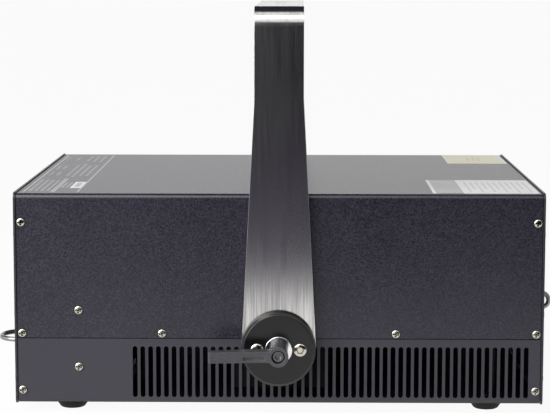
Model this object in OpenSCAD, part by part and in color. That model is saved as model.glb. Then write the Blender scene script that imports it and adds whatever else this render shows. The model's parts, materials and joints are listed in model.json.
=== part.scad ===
// Fog machine: a sheet-metal housing carried in a flat-bar yoke with two clamp levers.
// Units are millimetres and +Z is up. The origin is on the floor, under the middle of the
// housing. The nozzle points along +X, the control end faces -X, and the long sides face -Y and +Y.

/* [Housing] */
// Overall length of the housing, over both end plates
body_l = 520; // [430:1:640]
// Overall depth of the housing, over both long side walls
body_w = 414; // [340:1:500]
// Height of the housing above its own underside
body_h = 208; // [190:1:260]
// Height of the seam between the lower tray and the upper cover, above the underside
seam_h = 65; // [62:1:74]
// Thickness of the folded sheet of the cover and the tray
sheet_t = 1.5; // [1.2:0.1:2]
// Outer radius of the folded edges
bend_r = 5; // [2.5:0.5:6]
// Thickness of the end plates
end_t = 3; // [2.5:0.5:5]
// How far the end plates stand proud of the folded sheet
end_proud = 1; // [0.5:0.1:2]
// Thickness of the rim of an end plate, outside the groove between it and the folded sheet
rim_t = 1.9; // [1.5:0.1:2.4]
// Depth of that groove below the folded sheet
groove_d = 1.5; // [1:0.1:2]
// Visible gap at the seam
seam_gap = 0.9; // [0.3:0.1:1.2]
// Side of the square corner posts that the end plates are screwed to
post_w = 10; // [9:0.5:14]

/* [Vent slots] */
// Number of upright slots in each long side of the tray
slot_count = 51; // [20:1:51]
// Distance from one slot to the next
slot_pitch = 7.7; // [6.5:0.1:7.9]
// Width of one slot
slot_w = 4.8; // [3:0.1:5.2]
// Height of one slot from end to end
slot_h = 51; // [30:1:53]
// Height of the slots' lower ends above the underside of the housing
slot_z = 6; // [5:0.5:9]
// Distance from the last slot's centre to the nozzle end of the folded sheet
slot_margin = 13.7; // [13:0.1:20]

/* [Feet] */
// Height of the rubber feet
foot_h = 10; // [8:0.5:20]
// Radius of a foot where it meets the tray
foot_r = 18; // [13:0.5:20]
// Radius of a foot where it meets the floor
foot_tip_r = 12.5; // [7:0.5:12.5]
// Distance from the middle of the housing to the feet, along the length
foot_x = 207; // [150:1:210]
// Distance from a long side wall to the centre of the feet
foot_inset = 31; // [25:1:60]

/* [Yoke] */
// Width of the flat bar of the yoke
bar_w = 48; // [36:1:60]
// Thickness of the flat bar of the yoke
bar_t = 5; // [4:0.5:8]
// Height of the top of the yoke above the underside of the housing
yoke_top = 390.5; // [370:0.5:460]
// Outer radius of the two bends of the yoke
yoke_bend_r = 20; // [12:1:30]
// Height of the tilt pivot above the underside of the housing
pivot_h = 57.5; // [52:0.5:62]
// Radius of the round lower end of each arm
arm_end_r = 36.5; // [30:0.5:45]
// Height above the underside of the housing at which an arm starts to widen
taper_h = 297.5; // [240:0.5:330]
// Radius of the hanging hole in the middle of the yoke
hang_r = 6.5; // [4.5:0.25:9]
// Radius of the two smaller holes beside it
side_hole_r = 5.25; // [3:0.25:7]
// Distance from the hanging hole to each smaller hole
side_hole_y = 75; // [40:1:120]

/* [Tilt clamp] */
// Radius of the pivot shoulder that the arm turns on
pivot_r = 8; // [6:0.5:10]
// Radius of the threaded end of the pivot stud
stud_r = 5; // [4:0.5:6]
// Running clearance of the arm on its pivot, on the radius
run_fit = 0.05; // [0.02:0.01:0.1]
// Width of the spacer ring between the side wall and the arm
spacer_t = 3.7; // [2:0.1:8]
// Radius of the spacer ring
spacer_r = 22; // [16:1:30]
// Radius of the round clamp plate outside each arm
plate_r = 36.4; // [32:0.2:44]
// Thickness of the round clamp plate
plate_t = 10.5; // [8:0.5:14]
// Distance from the pivot to each of the clamp plate's two screws
plate_screw_x = 21; // [20:0.5:25]
// Radius of the bright washer under the lever hub
washer_r = 13.3; // [12:0.1:14]
// Thickness of the bright washer
washer_t = 2.2; // [1.5:0.1:3]

/* [Clamp levers] */
// Length of the lever from the pivot to its tip
lever_l = 67; // [50:1:90]
// Height of the lever's arm
lever_w = 10.6; // [8:0.2:14]
// Radius of the lever hub at its outer face
hub_r = 9.9; // [9.5:0.1:12]
// Radius of the lever hub at its base
hub_base_r = 8.6; // [8.5:0.1:9.5]
// Length of the lever hub along the pivot
hub_l = 34; // [30:0.5:44]
// How far the tip of the lever stands out past the hub
lever_rise = 4; // [0:0.5:8]
// Travel of the lever when it is lifted to turn it back
lever_lift = 4; // [2:0.5:5]

/* [Rings on the ends] */
// How far the rear loop and the front eye stand out of the end plates
ring_out = 34; // [24:1:40]
// Radius of the wire of both rings
ring_wire_r = 2.5; // [2:0.25:3]
// Distance between the two legs of the rear loop
loop_span = 46; // [36:1:60]
// Place of the rear loop across the housing
loop_y = -83; // [-120:1:-70]
// Height of the rear loop above the underside of the housing
loop_h = 44; // [36:1:56]
// Outer radius of the front eye
eye_r = 10.3; // [9:0.1:12]
// Height of the front eye above the underside of the housing
eye_h = 69; // [60:1:76]

/* [Fog system] */
// Length, depth and height of the heater block
heater_size = [160, 80, 50];
// Thickness of the insulation around the heater block
wrap_t = 12; // [8:1:15]
// Distance from the nozzle-end plate to the heater block
heater_gap = 46; // [40:1:60]
// Height of the nozzle above the underside of the housing
nozzle_h = 136; // [126:1:140]
// Outer radius of the nozzle
nozzle_r = 9; // [7:0.5:12]
// Radius of the nozzle's fog passage
nozzle_bore_r = 2; // [1:0.25:4]
// Inner radius of the ring that guards the nozzle
guard_r = 22; // [18:1:26]
// Length of the ring that guards the nozzle
guard_l = 20; // [14:1:24]
// Length, depth and height of the fluid tank
tank_size = [140, 170, 112];
// Space between the fluid tank and the far side wall
tank_gap = 13.5; // [12:0.5:20]
// Wall of the fluid tank
tank_wall = 3; // [2:0.5:5]
// Outer radius of the filler neck
neck_r = 17; // [13:0.5:20]
// Radius of the filler cap
cap_r = 23; // [20:0.5:27]
// Radius of the pump's barrel
pump_r = 17; // [13:0.5:20]
// Radius of the fluid hoses
hose_r = 3; // [2:0.25:4]

/* [Cooling] */
// Side of one square fan
fan_w = 60; // [50:1:60]
// Thickness of one fan
fan_t = 15; // [12:1:20]
// Distance between the two fans
fan_gap = 20; // [6:1:40]

/* [Controls] */
// Distance from the far long side to the middle of the mains inlet
inlet_edge = 55; // [48:1:60]
// Distance from the near long side to the middle of the display window
window_edge = 97; // [90:1:110]
// Radius of one menu button
button_r = 5; // [4:0.25:6]
// Distance between menu buttons
button_pitch = 22; // [16:1:24]
// Travel of a menu button
button_travel = 1.2; // [0.8:0.1:2]
// Width and height of the display window
window_size = [74, 26];

/* [Hidden] */
$fn = 64;
// clearance between pieces that move against each other
play = 0.3;
// clearance of a screw or a fixed pin in its hole, on the radius
slip = 0.2;
// how far a cut runs past the face that it cuts
over = 1;
shell_l = body_l - 2 * end_t;
half_l = body_l / 2;
half_shell = shell_l / 2;
half_w = body_w / 2;
base_z = foot_h;
top_z = base_z + body_h;
seam_z = base_z + seam_h;
floor_in = base_z + sheet_t;
wall_in = half_w - sheet_t;
deck_t = 3;
deck_z = seam_z + 7;
deck_top = deck_z + deck_t;
pillar_r = 5;
lip_top = seam_z + 10;
lip_low = seam_z - 6;
lip_in = wall_in - sheet_t;
post_in = wall_in - post_w;
lip_x = half_shell - post_w - 2 * play;
// screws through the folded sheet: M4 with pan heads
sheet_screw_r = 2;
sheet_head_r = 4;
sheet_head_h = 2.4;
// screws of the nozzle guard: M3 with pan heads
guard_screw_r = 1.5;
guard_head_r = 2.8;
guard_head_h = 1.8;
// hexagon sockets, across their corners
hex_r = 2.9;
edge_screw_x = half_shell - sheet_head_r - play;
row_low = base_z + 13.2;
row_seam = seam_z + 5;
row_high = base_z + 0.865 * body_h;
mid_screw_x = 115;
tie_x = 60 - half_shell;
tie_w = 16;
tie_t = 3;
tie_low = base_z + 36.5;
tie_high = base_z + 93;
// tilt axis
pivot_z = base_z + pivot_h;
doubler_t = 6;
doubler_w = 90;
doubler_low = base_z + 16;
doubler_high = lip_low - play;
flange_t = 4;
flange_r = 14;
spacer_y = half_w + spacer_t;
arm_in = spacer_y + play;
arm_out = arm_in + bar_t;
plate_out = arm_out + plate_t;
washer_out = plate_out + washer_t;
hub_in = washer_out + play;
hub_out = hub_in + hub_l;
insert_r = 6.6;
insert_l = 12;
cup_r = 6.4;
lever_head_r = 5.5;
lever_screw_r = 2;
lever_tip_y = hub_out + lever_rise;
stud_end = hub_in + insert_l - 3;
spindle_r = 3.6;
lever_head_h = 4;
shelf_in = hub_in + insert_l + play;
shelf_out = hub_in + insert_l + 5;
head_in = shelf_out + lever_lift + 6;
plate_head_r = 6.3;
plate_head_h = 2.4;
plate_shank_r = 3;
loop_z = base_z + loop_h;
eye_z = base_z + eye_h;
eye_shank_r = 3;
// fog system
cartridge_r = 6;
cutout_r = 8;
heater_x1 = half_shell - heater_gap;
heater_x0 = heater_x1 - heater_size[0];
nozzle_z = base_z + nozzle_h;
heater_z0 = nozzle_z - heater_size[2] / 2;
wrap_x0 = heater_x0 - wrap_t;
wrap_x1 = heater_x1 + wrap_t;
wrap_y = heater_size[1] / 2 + wrap_t;
wrap_z0 = heater_z0 - wrap_t;
wrap_z1 = heater_z0 + heater_size[2] + wrap_t;
cutout_x = (heater_x0 + heater_x1) / 2;
strap_t = 1.5;
strap_w = 16;
cradle_foot = 12;
nozzle_tip = half_l + 8;
nozzle_nose = 4;
guard_t = 3;
neck_flange_w = 5;
guard_flange_r = guard_r + 12;
guard_screw_pcd = 2 * guard_r + 13;
tank_x0 = -half_shell + 24;
tank_y0 = wall_in - tank_gap - tank_size[1];
tank_z0 = deck_top;
neck_y = tank_y0 + tank_size[1] / 2;
neck_z = tank_z0 + tank_size[2] - neck_r - tank_wall - 6;
neck_end = half_l + 12;
cap_wall = 3;
cap_rib_r = 1.6;
cap_bar_h = 6;
cap_out = neck_end + play + cap_wall;
pump_l = 62;
pump_x0 = -55;
pump_y = tank_y0 + 62;
pump_z = deck_top + pump_r + 6;
// cooling
fan_y1 = post_in - 4;
fan_z = floor_in + 2 + fan_w / 2;
fan_xs = [for (s = [-0.5, 0.5]) 120 + s * (fan_w + fan_gap)];
fan_hole_r = fan_w / 2 - 2;
rotor_r = fan_hole_r - 1;
rotor_hub_r = 14;
fan_hole_in = fan_w / 2 - 5;
blade_count = 7;
// controls, on the rear end plate
window_y = window_edge - half_w;
window_z = top_z - 42;
button_z = window_z - 36;
button_ys = [for (i = [0:3]) window_y + (i - 1.5) * button_pitch];
button_out = 3.5;
button_pad_t = 3.5;
button_lip = 1.5;
board_x = -half_shell + 14;
board_t = 1.6;
board_low = button_z - 14;
board_high = window_z + window_size[1] / 2 + 4;
inlet_y = half_w - inlet_edge;
inlet_z = base_z + 34;
inlet_w = 28;
inlet_h = 21;
inlet_wall = 2;
inlet_flange_t = 3;
// thickness of the flanges of the filler neck, the fuse holder and the data sockets
trim_t = 2.5;
switch_y = inlet_y - 48;
switch_z = inlet_z;
switch_w = 13;
switch_h = 20;
switch_wall = 1.5;
switch_flange = 2;
switch_pin_r = 1;
fuse_y = switch_y - 38;
fuse_r = 6.5;
fuse_head_h = 6;
fuse_slot_w = 1.6;
data_ys = [for (i = [0, 1]) fuse_y - 36 - 34 * i];
data_r = 10;
data_depth = 18;
data_pocket = 8;
data_flange = 4;
rocker_x = -half_l + 3;
rocker_tilt = 7;
psu_size = [78, 92, 46];
psu_x0 = tie_x - psu_size[0] / 2;

// ---- shared shapes ----

// a box between two corners
module block(a, b) {
    translate(a) cube([b[0] - a[0], b[1] - a[1], b[2] - a[2]]);
}

// a round bar along +X from x0 to x1
module bar_x(x0, x1, r, y = 0, z = 0) {
    translate([x0, y, z]) rotate([0, 90, 0]) cylinder(h = x1 - x0, r = r);
}

// a round bar along Y, for y0 below y1
module bar_y(y0, y1, r, x = 0, z = 0) {
    translate([x, y1, z]) rotate([90, 0, 0]) cylinder(h = y1 - y0, r = r);
}

// a flat rectangle with four round corners
module round_rect(w, h, r) {
    square([w - 2 * r, h], center = true);
    square([w, h - 2 * r], center = true);
    for (sx = [-1, 1], sy = [-1, 1])
        translate([sx * (w / 2 - r), sy * (h / 2 - r)]) circle(r = r);
}

// a profile drawn as [y, z] and drawn out along X from x0 to x1
module along_x(x0, x1) {
    translate([x0, 0, 0]) rotate([90, 0, 90]) linear_extrude(height = x1 - x0) children();
}

// a profile drawn as [x, z] and drawn out along Y from y0 to y1
module along_y(y0, y1) {
    translate([0, y1, 0]) rotate([90, 0, 0]) linear_extrude(height = y1 - y0) children();
}

// the piece itself and its copy turned half a turn about the vertical axis
module both_sides() {
    children();
    rotate([0, 0, 180]) children();
}

// a screw along -Y: domed head with a cross recess, its seat at y = seat
module cross_screw_y(x, z, seat, reach, shank = sheet_screw_r) {
    translate([x, seat, z]) rotate([90, 0, 0]) pan_screw(sheet_head_r, sheet_head_h, shank, reach);
}

// a pan-head screw along +Z, its seat at z = 0 and its shank below
module pan_screw(head_r, head_h, shank, reach) {
    difference() {
        union() {
            cylinder(h = head_h * 0.6, r = head_r);
            translate([0, 0, head_h * 0.6]) cylinder(h = head_h * 0.4, r1 = head_r, r2 = head_r * 0.72);
            translate([0, 0, -reach]) cylinder(h = reach, r = shank);
        }
        for (a = [0, 90]) rotate([0, 0, a])
            translate([-head_r * 0.55, -0.5, head_h - 1.2]) cube([head_r * 1.1, 1, 2]);
    }
}

// a hose through a list of points, with round corners
module pipe(points, r) {
    for (i = [0:len(points) - 2]) {
        step = points[i + 1] - points[i];
        length = norm(step);
        translate(points[i])
            rotate([0, acos(step[2] / length), atan2(step[1], step[0])]) cylinder(h = length, r = r);
    }
    for (i = [1:len(points) - 2]) translate(points[i]) sphere(r = r);
}

// outline of the folded sheet across the housing
module shell_profile(inset, r) {
    translate([0, base_z + body_h / 2])
        round_rect(body_w - 2 * inset, body_h - 2 * inset, r);
}

// ---- folded sheet ----

module top_cover() {
    color([0.2, 0.2, 0.23]) difference() {
        along_x(-half_shell, half_shell) difference() {
            shell_profile(0, bend_r);
            shell_profile(sheet_t, bend_r - sheet_t);
            translate([-half_w - over, base_z - over])
                square([body_w + 2 * over, seam_h + over + seam_gap / 2]);
        }
        for (x = [-edge_screw_x, edge_screw_x], z = [row_seam, row_high])
            bar_y(-half_w - over, half_w + over, sheet_screw_r + slip, x, z);
        for (x = [-mid_screw_x, mid_screw_x])
            bar_y(-half_w - over, half_w + over, sheet_screw_r + slip, x, row_seam);
        bar_y(-half_w - over, -wall_in + over, sheet_screw_r + slip, tie_x, tie_high);
        bar_y(-half_w - over, half_w + over, pivot_r + slip, 0, pivot_z);
    }
}

module tray_slots() {
    first = half_shell - slot_margin - (slot_count - 1) * slot_pitch;
    for (i = [0:slot_count - 1]) translate([first + i * slot_pitch, base_z + slot_z]) {
        translate([-slot_w / 2, slot_w / 2]) square([slot_w, slot_h - slot_w]);
        for (z = [slot_w / 2, slot_h - slot_w / 2]) translate([0, z]) circle(r = slot_w / 2, $fn = 24);
    }
}

module tray_lip(x0, x1, side) {
    y0 = side < 0 ? -wall_in : lip_in;
    y1 = side < 0 ? -lip_in : wall_in;
    block([x0, y0, lip_low], [x1, y1, lip_top]);
}

module bottom_tray() {
    gap = tie_w / 2 + play;
    color([0.24, 0.24, 0.27]) difference() {
        union() {
            difference() {
                along_x(-half_shell, half_shell) difference() {
                    shell_profile(0, bend_r);
                    shell_profile(sheet_t, bend_r - sheet_t);
                    translate([-half_w - over, seam_z - seam_gap / 2])
                        square([body_w + 2 * over, body_h]);
                }
                along_y(-half_w - over, half_w + over) tray_slots();
            }
            tray_lip(-lip_x, tie_x - gap, -1);
            tray_lip(tie_x + gap, lip_x, -1);
            tray_lip(-lip_x, lip_x, 1);
        }
        for (x = [-edge_screw_x, edge_screw_x])
            bar_y(-half_w - over, half_w + over, sheet_screw_r + slip, x, row_low);
        for (x = [-mid_screw_x, mid_screw_x])
            bar_y(-half_w - over, half_w + over, sheet_screw_r + slip, x, row_seam);
        bar_y(-half_w - over, -wall_in + over, sheet_screw_r + slip, tie_x, tie_low);
        bar_y(-half_w - over, half_w + over, pivot_r + slip, 0, pivot_z);
        foot_places() translate([0, 0, base_z - over])
            cylinder(h = sheet_t + 2 * over, r = sheet_screw_r + slip);
    }
}

// the row of screws along both long sides
module cover_screws() {
    color([0.8, 0.8, 0.82]) both_sides() {
        for (x = [-edge_screw_x, edge_screw_x], z = [row_seam, row_high])
            cross_screw_y(x, z, -half_w, sheet_t + 6);
        for (x = [-mid_screw_x, mid_screw_x]) cross_screw_y(x, row_seam, -half_w, sheet_t * 2 + 1);
    }
}

module tray_screws() {
    color([0.8, 0.8, 0.82]) {
        both_sides() for (x = [-edge_screw_x, edge_screw_x])
            cross_screw_y(x, row_low, -half_w, sheet_t + 6);
        for (z = [tie_low, tie_high]) cross_screw_y(tie_x, z, -half_w, sheet_t + tie_t);
    }
}

// bracket that ties the cover, the tray and the power supply together inside the near wall
module tie_bracket() {
    color([0.65, 0.66, 0.68]) difference() {
        block([tie_x - tie_w / 2, -wall_in, floor_in + bend_r],
            [tie_x + tie_w / 2, -wall_in + tie_t, tie_high + 12]);
        for (z = [tie_low, tie_high])
            bar_y(-half_w, -wall_in + tie_t + over, sheet_screw_r + slip, tie_x, z);
    }
}

// ---- end plates and frame ----

// outline of an end plate, set in by the given distance
module end_outline(inset = 0) {
    grow = 2 * (end_proud - inset);
    translate([0, base_z + body_h / 2])
        round_rect(body_w + grow, body_h + grow, bend_r + end_proud - inset);
}

// an end plate's blank for the nozzle end: rim outside, groove next to the folded sheet
module end_blank() {
    along_x(half_l - rim_t, half_l) end_outline();
    along_x(half_shell, half_l - rim_t) end_outline(end_proud + groove_d);
}

// screw places shared by an end plate and its corner posts, as [y, z]
function end_screw_places() = [for (y = [-1, 1], z = [row_low + 12, seam_z + 24, row_high - 12])
    [y * (wall_in - post_w / 2), z]];

module end_screw_holes(x0, x1) {
    for (p = end_screw_places()) bar_x(x0, x1, sheet_screw_r + slip, p[0], p[1]);
}

module front_plate() {
    color([0.1, 0.1, 0.11]) difference() {
        end_blank();
        end_screw_holes(half_shell - over, half_l + over);
        bar_x(half_shell - over, half_l + over, guard_r, 0, nozzle_z);
        bar_x(half_shell - over, half_l + over, eye_shank_r + slip, 0, eye_z);
        guard_screw_places() bar_x(half_shell - over, half_l + over, guard_screw_r + slip);
    }
}

// a round hole through the rear plate
module rear_hole(r, y, z) {
    bar_x(-half_l - over, -half_shell + over, r, y, z);
}

// a square-cornered hole through the rear plate
module rear_window(w, h, y, z) {
    block([-half_l - over, y - w / 2, z - h / 2], [-half_shell + over, y + w / 2, z + h / 2]);
}

module rear_plate() {
    color([0.1, 0.1, 0.11]) difference() {
        rotate([0, 0, 180]) end_blank();
        end_screw_holes(-half_l - over, -half_shell + over);
        for (s = [-1, 1]) rear_hole(ring_wire_r + slip, loop_y + s * loop_span / 2, loop_z);
        rear_hole(neck_r + slip, neck_y, neck_z);
        for (y = button_ys) rear_hole(button_r + play, y, button_z);
        rear_window(window_size[0], window_size[1], window_y, window_z);
        rear_window(inlet_w + 2 * slip, inlet_h + 2 * slip, inlet_y, inlet_z);
        rear_window(switch_w + 2 * slip, switch_h + 2 * slip, switch_y, switch_z);
        rear_hole(fuse_r + slip, fuse_y, inlet_z);
        for (y = data_ys) rear_hole(data_r + slip, y, inlet_z);
    }
}

module corner_posts() {
    color([0.7, 0.71, 0.72]) difference() {
        for (sx = [-1, 1], sy = [-1, 1]) {
            x = sx < 0 ? -half_shell : half_shell - post_w;
            y = sy < 0 ? -wall_in : wall_in - post_w;
            block([x, y, floor_in + bend_r], [x + post_w, y + post_w, top_z - sheet_t - bend_r]);
        }
        end_screw_holes(-half_shell - over, half_shell + over);
        for (x = [-edge_screw_x, edge_screw_x], z = [row_low, row_seam, row_high])
            bar_y(-half_w, half_w, sheet_screw_r + slip, x, z);
    }
}

module end_plate_screws() {
    color([0.8, 0.8, 0.82]) both_sides() for (p = end_screw_places())
        translate([half_l, p[0], p[1]]) rotate([0, 90, 0])
            pan_screw(sheet_head_r, sheet_head_h, sheet_screw_r, end_t + post_w * 0.4);
    color([0.8, 0.8, 0.82]) guard_screw_places() translate([half_l + guard_t, 0, 0]) rotate([0, 90, 0])
        pan_screw(guard_head_r, guard_head_h, guard_screw_r, guard_t + end_t + 1);
}

// ---- deck between the two compartments ----

module pillar_places() {
    for (x = [-lip_x + 110, 30, lip_x - 30], y = [-lip_in + 46, lip_in - 50])
        translate([x, y, 0]) children();
}

module mid_deck() {
    edge = lip_in - play;
    color([0.72, 0.73, 0.74]) difference() {
        block([-lip_x, -edge, deck_z], [lip_x, edge, deck_top]);
        block([tie_x - tie_w / 2 - play, -edge - over, deck_z - over],
            [tie_x + tie_w / 2 + play, -wall_in + tie_t + play, deck_top + over]);
    }
}

module deck_pillars() {
    color([0.75, 0.76, 0.77]) pillar_places() translate([0, 0, floor_in])
        cylinder(h = deck_z - floor_in, r = pillar_r);
}

// ---- feet ----

module foot_places() {
    for (x = [-foot_x, foot_x], y = [-half_w + foot_inset, half_w - foot_inset])
        translate([x, y, 0]) children();
}

module rubber_feet() {
    color([0.06, 0.06, 0.06]) foot_places() rotate_extrude() polygon([
        [sheet_screw_r + slip, 4], [4.5, 4], [4.5, 0], [foot_tip_r - 1.5, 0], [foot_tip_r, 1],
        [foot_r, foot_h - 1], [foot_r, foot_h], [sheet_screw_r + slip, foot_h]]);
}

module foot_screws() {
    color([0.7, 0.7, 0.72]) foot_places() translate([0, 0, 4]) rotate([180, 0, 0])
        pan_screw(sheet_head_r, 2.4, sheet_screw_r, foot_h - 4 + sheet_t + 2);
}

// ---- tilt pivot ----

// plates inside both long walls that spread the load of the yoke
module pivot_doublers() {
    color([0.12, 0.12, 0.14]) both_sides() difference() {
        block([-doubler_w / 2, -wall_in, doubler_low], [doubler_w / 2, -wall_in + doubler_t, doubler_high]);
        bar_y(-wall_in - over, -wall_in + doubler_t + over, pivot_r + slip, 0, pivot_z);
    }
}

module pivot_studs() {
    inner = wall_in - doubler_t;
    color([0.72, 0.72, 0.74]) both_sides() {
        bar_y(-inner, -inner + flange_t, flange_r, 0, pivot_z);
        bar_y(-arm_out + play, -inner, pivot_r, 0, pivot_z);
        bar_y(-stud_end, -arm_out + play, stud_r, 0, pivot_z);
    }
}

module spacer_rings() {
    color([0.5, 0.5, 0.52]) both_sides() difference() {
        bar_y(-spacer_y, -half_w, spacer_r, 0, pivot_z);
        bar_y(-spacer_y - over, -half_w + over, pivot_r + slip, 0, pivot_z);
    }
}

// ---- yoke ----

// side outline of an arm: straight bar, taper that runs on into the round end
module arm_outline() {
    dz = taper_h - pivot_h;
    dx = bar_w / 2;
    reach = sqrt(dx * dx + dz * dz);
    touch = atan2(dz, dx) - acos(arm_end_r / reach);
    tx = arm_end_r * cos(touch);
    tz = pivot_z + arm_end_r * sin(touch);
    crest = base_z + yoke_top + over;
    polygon([[-bar_w / 2, crest], [-bar_w / 2, base_z + taper_h], [-tx, tz], [tx, tz],
        [bar_w / 2, base_z + taper_h], [bar_w / 2, crest]]);
    translate([0, pivot_z]) circle(r = arm_end_r);
}

module yoke_fold(r, half, top) {
    low = pivot_z - arm_end_r - over;
    translate([0, (top - r + low) / 2]) square([2 * half, top - r - low], center = true);
    translate([0, top - r / 2]) square([2 * (half - r), r], center = true);
    for (s = [-1, 1]) translate([s * (half - r), top - r]) circle(r = r);
}

module yoke_bar() {
    top = base_z + yoke_top;
    color([0.7, 0.7, 0.7]) difference() {
        intersection() {
            along_x(-arm_end_r - over, arm_end_r + over) difference() {
                yoke_fold(yoke_bend_r, arm_out, top);
                translate([0, -over]) yoke_fold(yoke_bend_r - bar_t, arm_in, top - bar_t + over);
            }
            along_y(-arm_out - over, arm_out + over) arm_outline();
        }
        bar_y(-arm_out - over, arm_out + over, pivot_r + run_fit, 0, pivot_z);
        translate([0, 0, top - 2 * bar_t]) cylinder(h = 3 * bar_t, r = hang_r);
        for (s = [-1, 1]) translate([0, s * side_hole_y, top - 2 * bar_t])
            cylinder(h = 3 * bar_t, r = side_hole_r);
        for (s = [-1, 1])
            bar_y(-arm_out - over, arm_out + over, plate_shank_r + slip, s * plate_screw_x, pivot_z);
    }
}

module clamp_plates() {
    edge = 2.4;
    color([0.12, 0.12, 0.13]) both_sides() difference() {
        translate([0, -arm_out, pivot_z]) rotate([90, 0, 0]) rotate_extrude(convexity = 4) polygon([
            [stud_r + 3 * play, 0], [plate_r, 0], [plate_r, plate_t - edge],
            [plate_r - edge, plate_t], [stud_r + 3 * play, plate_t]]);
        for (s = [-1, 1])
            bar_y(-plate_out - over, -arm_out + over, plate_shank_r + slip, s * plate_screw_x, pivot_z);
    }
}

// socket button screws that hold each clamp plate to its arm
module clamp_plate_screws() {
    color([0.85, 0.85, 0.86]) both_sides() for (s = [-1, 1])
        translate([s * plate_screw_x, -plate_out, pivot_z]) rotate([90, 0, 0]) difference() {
            union() {
                cylinder(h = plate_head_h * 0.5, r = plate_head_r);
                translate([0, 0, plate_head_h * 0.5])
                    cylinder(h = plate_head_h * 0.5, r1 = plate_head_r, r2 = plate_head_r * 0.78);
                translate([0, 0, -plate_t - bar_t + 0.5]) cylinder(h = plate_t + bar_t, r = plate_shank_r);
            }
            translate([0, 0, plate_head_h - 1.6]) cylinder(h = 3, r = hex_r, $fn = 6);
        }
}

module bright_washers() {
    color([0.85, 0.85, 0.87]) both_sides() difference() {
        bar_y(-washer_out, -plate_out, washer_r, 0, pivot_z);
        bar_y(-washer_out - over, -plate_out + over, stud_r + play, 0, pivot_z);
    }
}

// ---- clamp levers ----

// brass insert that screws onto the stud, with the spindle that carries the lever
module lever_insert() {
    color([0.75, 0.62, 0.35]) difference() {
        union() {
            bar_y(-hub_in - insert_l, -hub_in, insert_r, 0, pivot_z);
            bar_y(-head_in, -hub_in - insert_l, spindle_r, 0, pivot_z);
        }
        bar_y(-stud_end - play, -hub_in + over, stud_r + run_fit, 0, pivot_z);
        bar_y(-head_in - over, -hub_in - insert_l - 4, lever_screw_r + slip, 0, pivot_z);
    }
}

// moulded lever: tapered hub with a stepped bore, and an arm that points along -X
module lever_handle() {
    color([0.16, 0.16, 0.17]) difference() {
        union() {
            translate([0, -hub_in - play, pivot_z]) rotate([90, 0, 0])
                cylinder(h = hub_l - play, r1 = hub_base_r, r2 = hub_r);
            translate([0, 0, pivot_z - lever_w / 2]) linear_extrude(height = lever_w) lever_arm_outline();
        }
        bar_y(-hub_out - lever_rise - over, -shelf_out, cup_r, 0, pivot_z);
        bar_y(-shelf_out - over, -hub_in, spindle_r + run_fit, 0, pivot_z);
        bar_y(-shelf_in, -hub_in + over, insert_r + run_fit, 0, pivot_z);
        block([-lever_l * 0.5, -hub_out - lever_rise - over, pivot_z - lever_w * 0.28],
            [-hub_r - 3, -hub_out + 0.8, pivot_z + lever_w * 0.02]);
    }
}

// the arm seen from above, as [x, y]: flush with the hub, then rising a little to its tip
module lever_arm_outline() {
    nose = 1.5;
    tip_t = lever_w;
    polygon([[0, -hub_out], [-hub_r - 6, -hub_out], [-lever_l + nose, -lever_tip_y],
        [-lever_l, -lever_tip_y + nose], [-lever_l, -lever_tip_y + tip_t - nose],
        [-lever_l + nose, -lever_tip_y + tip_t], [-lever_l * 0.45, -hub_out + 13], [0, -hub_out + 17]]);
}

// socket screw in the pocket of the lever
module lever_screw() {
    color([0.3, 0.3, 0.32]) difference() {
        union() {
            bar_y(-head_in - lever_head_h, -head_in, lever_head_r, 0, pivot_z);
            bar_y(-head_in, -hub_in - insert_l - 4.5, lever_screw_r, 0, pivot_z);
        }
        translate([0, -head_in - lever_head_h + 2.4, pivot_z]) rotate([90, 0, 0])
            cylinder(h = lever_head_h, r = hex_r, $fn = 6);
    }
}

// spring between the lever's shelf and the head of its screw, drawn as separate rings
module lever_spring() {
    turns = 4;
    wire_r = 0.9;
    low = shelf_out + wire_r + 0.05;
    high = head_in - wire_r - 0.05;
    color([0.75, 0.75, 0.77]) for (i = [0:turns - 1])
        translate([0, -low - i * (high - low) / (turns - 1), pivot_z]) rotate([90, 0, 0])
            rotate_extrude() translate([cup_r - wire_r - play, 0]) circle(r = wire_r, $fn = 16);
}

module near_lever_insert() { lever_insert(); }
module near_lever_handle() { lever_handle(); }
module near_lever_screw() { lever_screw(); }
module near_lever_spring() { lever_spring(); }
module far_lever_insert() { rotate([0, 0, 180]) lever_insert(); }
module far_lever_handle() { rotate([0, 0, 180]) lever_handle(); }
module far_lever_screw() { rotate([0, 0, 180]) lever_screw(); }
module far_lever_spring() { rotate([0, 0, 180]) lever_spring(); }

// ---- rings on the end plates ----

// flat U of round wire with its legs through the rear plate
module rear_loop() {
    corner = loop_span / 2 - 3;
    x = -half_l - ring_out + ring_wire_r;
    leg_end = -half_shell + 8;
    color([0.75, 0.75, 0.77]) translate([0, loop_y, loop_z]) {
        for (s = [-1, 1]) {
            bar_x(x + corner, leg_end, ring_wire_r, s * loop_span / 2);
            bar_x(-half_shell, -half_shell + 4, 2 * ring_wire_r, s * loop_span / 2);
            translate([x + corner, s * (loop_span / 2 - corner), 0]) rotate([0, 0, s > 0 ? 90 : 180])
                rotate_extrude(angle = 90) translate([corner, 0]) circle(r = ring_wire_r, $fn = 24);
        }
        bar_y(-loop_span / 2 + corner, loop_span / 2 - corner, ring_wire_r, x);
    }
}

// eye bolt through the front plate, its ring upright
module front_eye() {
    ring_r = eye_r - ring_wire_r;
    x = half_l + ring_out - eye_r;
    color([0.75, 0.75, 0.77]) translate([0, 0, eye_z]) {
        translate([x, 0, 0]) rotate([90, 0, 0]) rotate_extrude()
            translate([ring_r, 0]) circle(r = ring_wire_r, $fn = 24);
        bar_x(half_shell - 7, x - ring_r, eye_shank_r);
        bar_x(half_l, half_l + 2.5, 2.2 * eye_shank_r);
        bar_x(half_shell - 4, half_shell, 1.8 * eye_shank_r);
    }
}

// ---- fog system ----

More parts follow.
